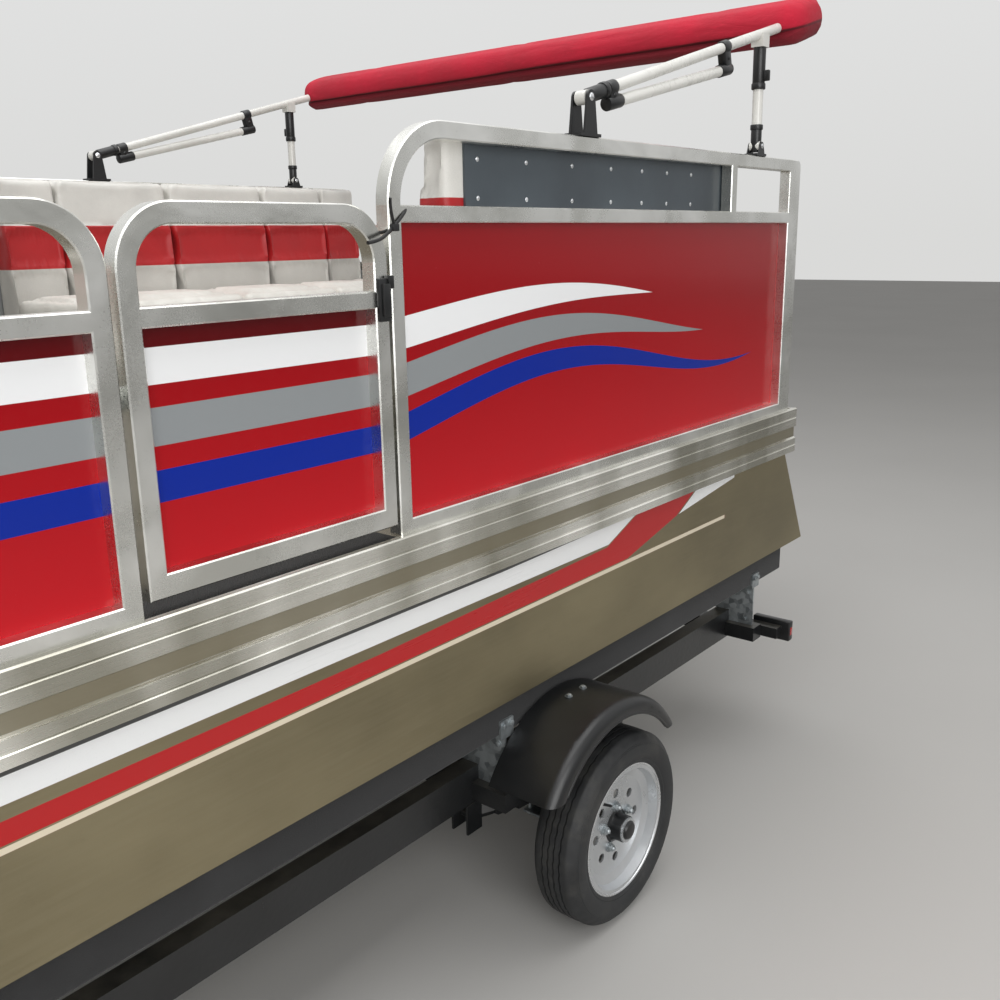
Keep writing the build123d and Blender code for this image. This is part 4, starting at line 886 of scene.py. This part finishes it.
chairBack = fineBlock("helm_back_cover", (0.08, 0.382, 0.44), 0.032, 0.01)
for vert in chairBack.data.vertices:
    vert.co.x -= vert.co.z * chair["lean"]
    if vert.co.x + vert.co.z * chair["lean"] > 0.02:
        vert.co.x -= 0.005 * sum(groove(vert.co.z, seam, 0.008) for seam in chair["seams"])
puffed(chairBack, lambda co: co.x + co.z * chair["lean"] < -0.03 or (
    co.x + co.z * chair["lean"] > 0.02 and min(abs(co.z - seam) for seam in chair["seams"]) < 0.006
), 0.008)
chairBack.data.transform(Matrix.Translation((chair["x"] - 0.15, chair["y"], chair["z"] + 0.146)))
dress(chairBack, "seat", "helm_chair", "pale_vinyl", ["helm_chair_back"], 60)
print("seats upholstered")

# canopy boot: a canvas sleeve round the rolled top, with a fold along its lower front and gathered ends

bpy.ops.mesh.primitive_cylinder_add(
    vertices=boot["sides"], radius=boot["radius"], depth=2 * boot["half"], end_fill_type="TRIFAN",
    rotation=(radians(90), 0, 0),
)
sleeve = bpy.context.object
sleeve.name = "canopy_boot_cover"
settle(sleeve)
edit(sleeve)
pick(sleeve, lambda e: abs(e.verts[1].co.y - e.verts[0].co.y) > 1.0, "EDGE")
bpy.ops.mesh.subdivide(number_cuts=boot["rings"])
edit(sleeve, False)
for vert in sleeve.data.vertices:
    y = vert.co.y
    angle = atan2(vert.co.z, vert.co.x)
    reach = hypot(vert.co.x, vert.co.z) / boot["radius"]
    toEnd = (boot["half"] - abs(y)) / 0.045
    close = min(1.0, max(0.0, toEnd)) ** 0.4 * 0.42 + 0.58
    # flatter below, with a long soft crease at the lower front and wrinkles that run along the sleeve
    shape = 1.0 - 0.08 * max(0.0, -sin(angle)) ** 2
    shape -= 0.22 * groove(angle, -0.32 + 0.06 * sin(y * 2.1), 0.1)
    shape += 0.035 * noise.noise(Vector((cos(angle) * 1.3, y * 1.6, sin(angle) * 1.3 + 4)))
    shape += 0.03 * noise.noise(Vector((cos(angle) * 4, y * 5 + 9, sin(angle) * 4)))
    for strap in boot["straps"]:
        shape -= 0.05 * groove(y, strap, 0.03)
    size = boot["radius"] * min(1.0, shape) * close * reach
    lengthwise = cos(angle) * size + max(-1.0, min(1.0, cos(angle) * 2.2)) * boot["flat"] * close * reach
    high = sin(angle) * size
    vert.co.x = boot["x"] + cos(boot["tilt"]) * lengthwise + sin(boot["tilt"]) * high
    vert.co.z = boot["z"] - sin(boot["tilt"]) * lengthwise + cos(boot["tilt"]) * high
dress(sleeve, "canvas", "canopy", "red_canvas", ["canopy_boot"], 70)
print("canopy boot sewn")

# screws and bolts

def dome(radius, height):
    # a low round screw head, its foot at z 0
    profile = [(0, height), (radius * 0.62, height * 0.8), (radius, height * 0.25), (radius, 0), (0, 0)]
    return turned("dome", profile, 14)


def bolt(radius=0.0075, height=0.0065):
    # a hexagon head on its washer
    head = rod((0, 0, height * 0.3), (0, 0, height), radius, 6, radius * 0.12)
    return joined("bolt", [head, rod((0, 0, 0), (0, 0, height * 0.3), radius * 1.35, 18)])


shellScrews = {"x": (1.66, 1.493, 1.318, 1.152, 1.007, 0.881, 0.75, 0.56), "z": (1.99, 1.912), "y": 1.0383}
spread("shell_screws", "chrome", dome(0.0052, 0.0026), [
    facing((aft(x), shellScrews["y"], z), (0, 1, 0)) for x in shellScrews["x"] for z in shellScrews["z"]
])

# gates: a black stop on the outer stile, a slam latch inside

built("gate_side_stop", "black", [
    slab((aft(1.973), 1.0752, 1.681), (aft(2.005), 1.085, 1.761)),
    slab((aft(1.979), 1.084, 1.69), (aft(1.999), 1.0905, 1.752)),
    slab((aft(1.969), 1.0752, 1.742), (aft(1.983), 1.0895, 1.766), 0.002),
], "gate_side")

latchPlaces = {
    "gate_side": ((aft(2.5125), 1.04, 1.6), (0, -1, 0), pi / 2),
    "gate_bow": ((aft(5.265), -0.3045, 1.6), (-1, 0, 0), 0),
}
for gate, place in latchPlaces.items():
    # its back at z 0, the lever points along x
    latch = joined("latch", [
        slab((-0.018, -0.045, 0), (0.018, 0.045, 0.004), 0.0015),
        slab((-0.014, -0.032, 0.003), (0.014, 0.02, 0.018)),
        rod((0, 0.03, 0.004), (0, 0.03, 0.026), 0.008, 18, 0.002),
        slab((0.01, -0.018, 0.005), (0.024, 0.006, 0.012), 0.0015),
    ])
    spread(f"{gate}_latch", "chrome", latch, [facing(*place)], gate)

# tie strap round the corner of the raised fence

strapTie = {
    "loop": [
        (1.915, 1.078, 1.886), (1.958, 1.0805, 1.852), (1.968, 1.052, 1.842), (1.955, 1.036, 1.85),
        (1.915, 1.034, 1.884), (1.905, 1.055, 1.893),
    ],
    "tail": [(1.962, 1.083, 1.851), (1.985, 1.09, 1.84), (2.015, 1.098, 1.829), (2.045, 1.102, 1.826)],
    "end": [(1.955, 1.082, 1.853), (1.972, 1.094, 1.868), (1.985, 1.102, 1.892), (1.988, 1.106, 1.905)],
}
ties = [
    hose([(aft(x), y, z) for x, y, z in strapTie[part]], thick, 8, part == "loop")
    for part, thick in (("loop", 0.003), ("tail", 0.0036), ("end", 0.003))
]
built("fence_tie", "grip", ties + [slab((aft(1.95), 1.0785, 1.846), (aft(1.966), 1.0905, 1.86), 0.002)])

# canopy fittings: sockets, clamps and collars in black on the white tubes

canopy = {"x": aft(1.3), "y": 1.057, "z": 2.14, "tilt": atan2(0.315, 1.135), "strut": aft(0.395)}
armAlong = Vector((-cos(canopy["tilt"]), 0, sin(canopy["tilt"])))
armBelow = Vector((-sin(canopy["tilt"]), 0, -cos(canopy["tilt"])))
# along the arm and below it at both ends, then radius and edge
armSleeves = (
    (0.014, 0.0, 0.088, 0.0, 0.0172, 0.002), (0.078, 0.0, 0.094, 0.0, 0.0195, 0.003),
    (0.089, 0.0318, 0.15, 0.0343, 0.0166, 0.002), (0.662, 0.0556, 0.724, 0.0582, 0.0166, 0.002),
)
# height at both ends, radius and edge
strutSleeves = (
    (2.066, 2.139, 0.0157, 0.001), (2.128, 2.143, 0.0185, 0.002), (2.243, 2.357, 0.018, 0.002),
    (2.24, 2.258, 0.0205, 0.003),
)


def onArm(side, distance, drop=0.0):
    return Vector((canopy["x"], side * canopy["y"], canopy["z"])) + armAlong * distance + armBelow * drop


for name, side in (("port", 1), ("starboard", -1)):
    fittings = [
        rod(onArm(side, start, drop), onArm(side, end, low), radius, 24, soft)
        for start, drop, end, low, radius, soft in armSleeves
    ]
    for start, drop in ((0.098, 0.032), (0.688, 0.058)):
        fittings.append(rod(onArm(side, start), onArm(side, start + 0.034), 0.0178, 24, 0.0025))
        middle = onArm(side, start + 0.017, drop / 2)
        reach = drop / 2 + 0.007
        fittings.append(placed(
            slab((-0.017, -0.0128, -reach), (0.017, 0.0128, reach)),
            Matrix.Translation(middle) @ Matrix.Rotation(canopy["tilt"], 4, "Y"),
        ))
        for face in (-1, 1):
            screwed = facing(middle + Vector((0, face * 0.0126, 0)), (0, face, 0))
            fittings.append(placed(dome(0.006, 0.004), screwed))
    built(f"canopy_fittings_{name}", "black", fittings, "canopy")

    x, y = canopy["strut"], side * canopy["y"]
    sleeves = [rod((x, y, low), (x, y, high), radius, 24, soft) for low, high, radius, soft in strutSleeves]
    sleeves.append(slab((x - 0.006, y + side * 0.014, 2.262), (x + 0.006, y + side * 0.034, 2.292)))
    built(f"canopy_strut_fittings_{name}", "black", sleeves, f"canopy_strut_{name}")

pinHeads = [
    facing((x, side * canopy["y"] + face * out, z), (0, face, 0)) @ Matrix.Scale(size, 4)
    for side in (1, -1)
    for x, z, out, size in ((canopy["x"], canopy["z"], 0.023, 1), (canopy["strut"], 2.082, 0.02, 7 / 9))
    for face in (-1, 1)
]
spread("canopy_pins", "chrome", dome(0.009, 0.005), pinHeads)
print("gates and canopy trimmed")

# wheels: tread, hub, nuts and valve; profiles are radius and distance out from the wheel's middle

wheel = {
    "x": aft(1.255), "y": 1.115, "z": 0.268, "steps": 144, "nuts": 5, "nutRing": 0.06, "disc": 0.026,
    "hub": [
        (0.0, 0.077), (0.012, 0.0768), (0.0215, 0.0748), (0.026, 0.07), (0.0268, 0.064), (0.035, 0.063),
        (0.0362, 0.0615), (0.0362, 0.04), (0.04, 0.03), (0.047, 0.0262), (0.047, 0.0255), (0.0, 0.0255),
    ],
    "bead": [
        (0.1795, 0.0555), (0.183, 0.058), (0.1842, 0.0605), (0.1815, 0.0612), (0.1785, 0.0596),
        (0.1775, 0.057), (0.1795, 0.0555),
    ],
    "tyre": [
        (0.1823, 0.0), (0.1823, 0.05), (0.1826, 0.0578), (0.1868, 0.0622), (0.1925, 0.0652), (0.196, 0.0644),
        (0.199, 0.0662), (0.207, 0.0694), (0.216, 0.0706), (0.2255, 0.071), (0.235, 0.07), (0.2385, 0.069),
        (0.2392, 0.0676), (0.2425, 0.0672), (0.2432, 0.066), (0.249, 0.0632), (0.255, 0.0582),
        (0.2604, 0.0534), (0.2642, 0.049), (0.2662, 0.0452), (0.2668, 0.043), (0.267, 0.0292),
        (0.26, 0.0286), (0.26, 0.0248),
        (0.2674, 0.0242), (0.2677, 0.0112), (0.2605, 0.0106), (0.2605, 0.0066), (0.2679, 0.006), (0.268, 0.0),
    ],
}
section = wheel["tyre"] + [(radius, -out) for radius, out in reversed(wheel["tyre"][:-1])]
for name, side in (("port", 1), ("starboard", -1)):
    body = f"wheel_{name}"
    middle = facing((wheel["x"], side * wheel["y"], wheel["z"]), (0, side, 0))
    tyre = turned(f"tyre_{name}_tread", section, wheel["steps"])
    for vert in tyre.data.vertices:
        # the grooves wander, and the shoulder is notched
        radius, turn = hypot(vert.co.x, vert.co.y), atan2(vert.co.y, vert.co.x)
        if 0.004 < abs(vert.co.z) < 0.031 and radius > 0.255:
            vert.co.z += 0.0016 * sin(turn * 48)
        if 0.05 < abs(vert.co.z) < 0.0585 and radius > 0.253 and round(turn * wheel["steps"] / 2 / pi) % 4 < 2:
            vert.co.x *= 0.9905
            vert.co.y *= 0.9905
    dress(placed(tyre, middle), "tyre", body, "tyre_rubber", [f"tyre_{name}"], 30)
    dress(placed(turned("hub", wheel["hub"], 40), middle), "black", body)

    nut = joined("nut", [
        rod((0, 0, 0), (0, 0, 0.013), 0.0115, 6, 0.001), rod((0, 0, -0.001), (0, 0, 0.004), 0.0145, 20),
        rod((0, 0, 0.012), (0, 0, 0.021), 0.0085, 18, 0.003, 0.005),
    ])
    disc = facing((wheel["x"], side * (wheel["y"] + wheel["disc"]), wheel["z"]), (0, side, 0))
    spread(f"wheel_nuts_{name}", "zinc", nut, [
        disc @ Matrix.Rotation(2 * pi * (n + 0.3) / wheel["nuts"], 4, "Z")
        @ Matrix.Translation((wheel["nutRing"], 0, 0))
        for n in range(wheel["nuts"])
    ], body)
    spread(f"wheel_valve_{name}", "black", rod((0, 0, 0), (0.012, 0, 0.034), 0.0042, 12, 0.001, 0.0036), [
        disc @ Matrix.Rotation(2.2, 4, "Z") @ Matrix.Translation((0.124, 0, 0.004))
    ], body)
    dress(placed(turned("bead", wheel["bead"], 96), middle), "chrome", body)
print("wheels trimmed")

# fenders: rolled edge and bolts

guard = {
    "x": aft(1.365), "z": 0.35, "edge": 0.2995, "low": 32, "high": 148, "out": 1.2205, "foot": 0.531,
    "bar": 0.15,
}
edges = []
fenderBolts = []
for side in (1, -1):
    arc = [radians(guard["low"] + (guard["high"] - guard["low"]) * n / 30) for n in range(31)]
    points = [
        (guard["x"] + guard["edge"] * cos(a), side * guard["out"], guard["z"] + guard["edge"] * sin(a))
        for a in arc
    ]
    edges.append(hose([point for point in points if point[2] > guard["foot"]], 0.0042, 12))
    for way in (-1, 1):
        x = guard["x"] + way * guard["bar"]
        for z in (0.548, 0.575):
            fenderBolts.append(facing((x, side * 1.0225, z), (0, -side, 0)))
        fenderBolts.append(facing((x, side * 0.945, 0.516), (0, 0, 1)))
    for way in (-1, 1):
        fenderBolts.append(facing((guard["x"] + 0.032 * way, side * 1.085, guard["z"] + 0.3385), (0, 0, 1)))
built("fender_edges", "black", edges)
spread("fender_bolts", "zinc", bolt(), fenderBolts)

# tail lamps: black housing, ribbed lens, small side marker

housings, lenses, markers = [], [], []
for side in (1, -1):
    inner, outer = sorted((side * 0.985, side * 1.125))
    stud, marker = side * 1.055, side * 1.1235
    housings += [
        slab((aft(0.068), inner, 0.419), (aft(0.1), outer, 0.491), 0.005),
        slab((aft(0.098), stud - 0.012, 0.447), (aft(0.112), stud + 0.012, 0.463), 0.002),
    ]
    lenses.append(slab((aft(0.0545), inner + 0.006, 0.425), (aft(0.072), outer - 0.006, 0.485), 0.006, 3))
    markers.append(slab((aft(0.074), marker - 0.003, 0.44), (aft(0.094), marker + 0.003, 0.47), 0.002))
built("tail_lamp_housings", "black", housings, slot="lamp_red", instead=["tail_lamps"])
built("tail_lamp_lenses", "lamp", lenses)
built("tail_lamp_markers", "lamp", markers)

# trailer: bracket bolts, spring bolts, winch and coupler

brackets = {"x": (0.17, 1.57, 3.0, 4.12), "plate": 0.003, "bunks": ((0.52, -1), (0.99, 1))}
bracketBolts = []
for side in (1, -1):
    for x in brackets["x"]:
        for y, way in brackets["bunks"]:
            for dx in (-0.014, 0.014):
                bracketBolts.append(facing((aft(x + dx), side * (y + way * 0.031), 0.66), (0, side * way, 0)))
            for z, inward in ((0.5, 0.028), (0.6, 0.022)):
                bolted = (aft(x) + brackets["plate"], side * (y + way * (0.025 - inward)), z)
                bracketBolts.append(facing(bolted, (1, 0, 0)))
spread("bracket_bolts", "zinc", bolt(), bracketBolts)

spring = {"y": 0.9, "dx": 0.032, "dy": 0.029, "foot": 0.218, "shoulder": 0.322}
clips = []
for side in (1, -1):
    y = side * spring["y"]
    for x in (wheel["x"] - spring["dx"], wheel["x"] + spring["dx"]):
        clips.append(hose([
            (x, y - spring["dy"], spring["foot"]), (x, y - spring["dy"], spring["shoulder"]),
            (x, y - 0.025, 0.334), (x, y, 0.336), (x, y + 0.025, 0.334),
            (x, y + spring["dy"], spring["shoulder"]), (x, y + spring["dy"], spring["foot"]),
        ], 0.0055, 10))
        for across in (y - spring["dy"], y + spring["dy"]):
            clips.append(rod((x, across, 0.219), (x, across, 0.228), 0.0095, 6, 0.001))
    clips.append(slab((wheel["x"] - 0.05, y - 0.042, 0.228), (wheel["x"] + 0.05, y + 0.042, 0.236), 0.002))
built("spring_clips", "zinc", clips)

winch = {"x": aft(6.135), "z": 0.98, "grip": 0.832, "rollerX": aft(5.93), "rollerZ": 1.06}
dress(turned("strap_roll", [
    (0.0395, -0.023), (0.052, -0.023), (0.054, -0.02), (0.0545, 0.0), (0.054, 0.02), (0.052, 0.023),
    (0.0395, 0.023), (0.0395, -0.023),
], 40, (winch["x"], 0, winch["z"]), (0, 1, 0)), "strap")
built("winch_crank", "black", [
    rod((winch["x"], 0.055, winch["z"]), (winch["x"], 0.086, winch["z"]), 0.009, 16, 0.001),
    slab((winch["x"] - 0.01, 0.078, 0.82), (winch["x"] + 0.01, 0.085, 0.99)),
    rod((winch["x"], 0.085, winch["grip"]), (winch["x"], 0.18, winch["grip"]), 0.013, 20, 0.004, 0.0115),
])
dress(turned("bow_roller", [
    (0.008, -0.045), (0.03, -0.045), (0.034, -0.038), (0.028, -0.015), (0.026, 0.0), (0.028, 0.015),
    (0.034, 0.038), (0.03, 0.045), (0.008, 0.045), (0.008, -0.045),
], 32, (winch["rollerX"], 0, winch["rollerZ"]), (0, 1, 0)), "grip")
built("coupler_latch", "zinc", [
    slab((aft(6.745), -0.02, 0.52), (aft(6.815), 0.02, 0.534)),
    rod((aft(6.8), -0.024, 0.538), (aft(6.8), 0.024, 0.538), 0.008, 18, 0.001),
    slab((aft(6.69), -0.013, 0.536), (aft(6.806), 0.013, 0.546), 0.004),
    slab((aft(6.682), -0.018, 0.538), (aft(6.7), 0.018, 0.556), 0.004),
])
print("trailer trimmed")

# helm: dials, switches, throttle, cup rings and the wheel's cap

console = {"low": (2.78, 1.9), "high": (2.96, 2.12), "y": -0.69}
(lowX, lowZ), (highX, highZ) = console["low"], console["high"]
dashTilt = atan2(highZ - lowZ, highX - lowX)
dashUp = Vector((cos(dashTilt), 0, sin(dashTilt)))
dashOut = Vector((-sin(dashTilt), 0, cos(dashTilt)))
dashMiddle = Vector((aft((lowX + highX) / 2), console["y"], (lowZ + highZ) / 2))
dashTurn = Matrix(((0, dashUp.x, dashOut.x, 0), (-1, 0, 0, 0), (0, dashUp.z, dashOut.z, 0), (0, 0, 0, 1)))


def onDash(across, rise, out=0.0, size=1.0):
    # across is positive to starboard
    place = dashMiddle + Vector((0, -across, 0)) + dashUp * rise + dashOut * out
    return Matrix.Translation(place) @ dashTurn @ Matrix.Scale(size, 4)


# across, rise and size of each dial
dials = ((-0.165, 0.088, 1.0), (-0.075, 0.1, 0.8), (0.075, 0.1, 0.8), (0.165, 0.088, 1.0))
bezel = turned("bezel", [
    (0.034, 0.0), (0.0405, 0.0), (0.0405, 0.005), (0.0375, 0.008), (0.034, 0.004), (0.034, 0.0),
], 36)
spread("helm_dial_rings", "chrome", bezel, [onDash(a, b, 0, c) for a, b, c in dials])
spread("helm_dials", "glass dial", dome(0.0345, 0.003), [onDash(a, b, 0.0004, c) for a, b, c in dials])
needle = joined("needle", [slab((-0.001, -0.004, 0.0028), (0.001, 0.026, 0.0036), 0.0), dome(0.004, 0.0045)])
spread("helm_needles", "lamp", needle, [
    onDash(a, b, 0, c) @ Matrix.Rotation(2.1 - 0.4 * n, 4, "Z") for n, (a, b, c) in enumerate(dials)
])
switches = [slab((-0.06, -0.022, 0), (0.06, 0.022, 0.003), 0.0012)] + [
    slab((-0.052 + n * 0.0215, -0.013, 0.002), (-0.036 + n * 0.0215, 0.013, 0.008), 0.0018) for n in range(5)
]
spread("helm_switches", "black", joined("switches", switches), [onDash(-0.15, -0.085)])
throttle = joined("throttle", [
    slab((-0.03, -0.06, 0), (0.03, 0.06, 0.034), 0.008, 3),
    rod((-0.04, 0.0, 0.022), (0.034, 0.0, 0.022), 0.022, 28, 0.003),
    rod((-0.036, 0.0, 0.022), (-0.036, 0.05, 0.135), 0.008, 16, 0.001, 0.006),
    rod((-0.06, 0.052, 0.14), (0.006, 0.052, 0.14), 0.014, 24, 0.006),
])
spread("helm_throttle", "black", throttle, [onDash(0.245, 0.01)])
cup = turned("cup", [
    (0.0, 0.001), (0.036, 0.001), (0.038, 0.007), (0.046, 0.0075), (0.0475, 0.004), (0.0475, 0.0), (0.0, 0.0),
], 36)
spread("helm_cups", "chrome", cup, [onDash(0.15, -0.08), onDash(-0.235, 0.0)])
cap = turned("helm_wheel_cap", [
    (0.0, 0.1025), (0.018, 0.101), (0.027, 0.0965), (0.029, 0.0945), (0.0, 0.0945),
], 32)
dress(placed(cap, onDash(0.0, 0.0)), "chrome", "steering_wheel")

# seat bases: lift-out doors with vents

doorAt = {"every": 0.75, "y": 0.5855, "z": 1.415}
doors = []
for rows in benches.values():
    for side, joints in rows:
        count = max(1, round((joints[-1] - joints[0]) / doorAt["every"]))
        width = (joints[-1] - joints[0]) / count
        for n in range(count):
            middle = aft(joints[0] + width * (n + 0.5))
            doors.append(facing((middle, side * doorAt["y"], doorAt["z"]), (0, -side, 0)))
door = [slab((-0.23, -0.078, 0), (0.23, 0.078, 0.0045), 0.002)] + [
    slab((-0.08, -0.04 + n * 0.018, 0.003), (0.08, -0.032 + n * 0.018, 0.0075), 0.0015) for n in range(5)
]
spread("seat_base_doors", "base", joined("door", door), doors)
print("helm and seats trimmed")

# bow cleats and side lights

cleat = [slab((-0.045, -0.014, 0), (0.045, 0.014, 0.006), 0.0025)]
for way in (-1, 1):
    cleat.append(rod((0.02 * way, 0, 0.004), (0.016 * way, 0, 0.03), 0.0085, 18))
    cleat.append(rod((0.004 * way, 0, 0.032), (0.072 * way, 0, 0.036), 0.0105, 18, 0.003, 0.006))
cleat.append(rod((-0.02, 0, 0.032), (0.02, 0, 0.032), 0.0105, 18))
spread("bow_cleats", "chrome", joined("cleat", cleat), [
    Matrix.Translation((aft(5.4), side * 0.93, deckTop)) @ Matrix.Rotation(pi / 2, 4, "Z") for side in (1, -1)
])
for name, side, finish in (("port", 1, "lamp"), ("starboard", -1, "green")):
    y = side * 1.0905
    light = slab((aft(5.33), y - 0.006, 1.158), (aft(5.4), y + 0.006, 1.188), 0.004, 3)
    built(f"side_light_{name}", finish, [light])

# outboard: latch, vents, anode, nuts

motor = {
    "x": aft(-0.795), "low": 1.3006, "prop": 0.48, "propX": aft(-1.2303), "vent": 0.67, "clamp": aft(-0.574),
}


def onMotor(x, y, z, level="low"):
    # a point aft of the motor's axis, over one of its levels
    return (motor["x"] - x, y, motor[level] + z)


built("cowl_details", "engine", [
    slab(onMotor(0.425, -0.04, 0.065), onMotor(0.398, 0.04, 0.095), 0.005),
    slab(onMotor(0.418, -0.06, 0.395), onMotor(0.385, 0.06, 0.425), 0.008, 3),
], "outboard_motor")
spread("cowl_gills", "engine", slab((-0.0035, -0.04, 0.0), (0.0035, 0.04, 0.012), 0.002), [
    facing(onMotor(0.3 + n * 0.016, side * 0.181, 0.33), (0, side, 0)) for side in (1, -1) for n in range(5)
], "outboard_motor")
built("motor_anode", "zinc", [
    slab(onMotor(0.33, -0.02, -0.016, "vent"), onMotor(0.27, 0.02, 0.001, "vent"), 0.004),
    slab(onMotor(0.35, -0.004, -0.055, "vent"), onMotor(0.29, 0.004, 0.001, "vent"), 0.002),
], "outboard_motor")
dress(turned("propeller_nut", [
    (0.0, 0.038), (0.009, 0.034), (0.015, 0.022), (0.019, 0.006), (0.0195, 0.0), (0.0, 0.0),
], 28, (motor["propX"], 0, motor["prop"]), (-1, 0, 0)), "dark metal", "propeller")
spread("clamp_bolts", "chrome", bolt(0.01, 0.01), [
    facing((motor["clamp"], side * 0.073, z), (1, 0, 0)) for side in (1, -1) for z in (1.16, 1.205)
])
print("outboard trimmed")
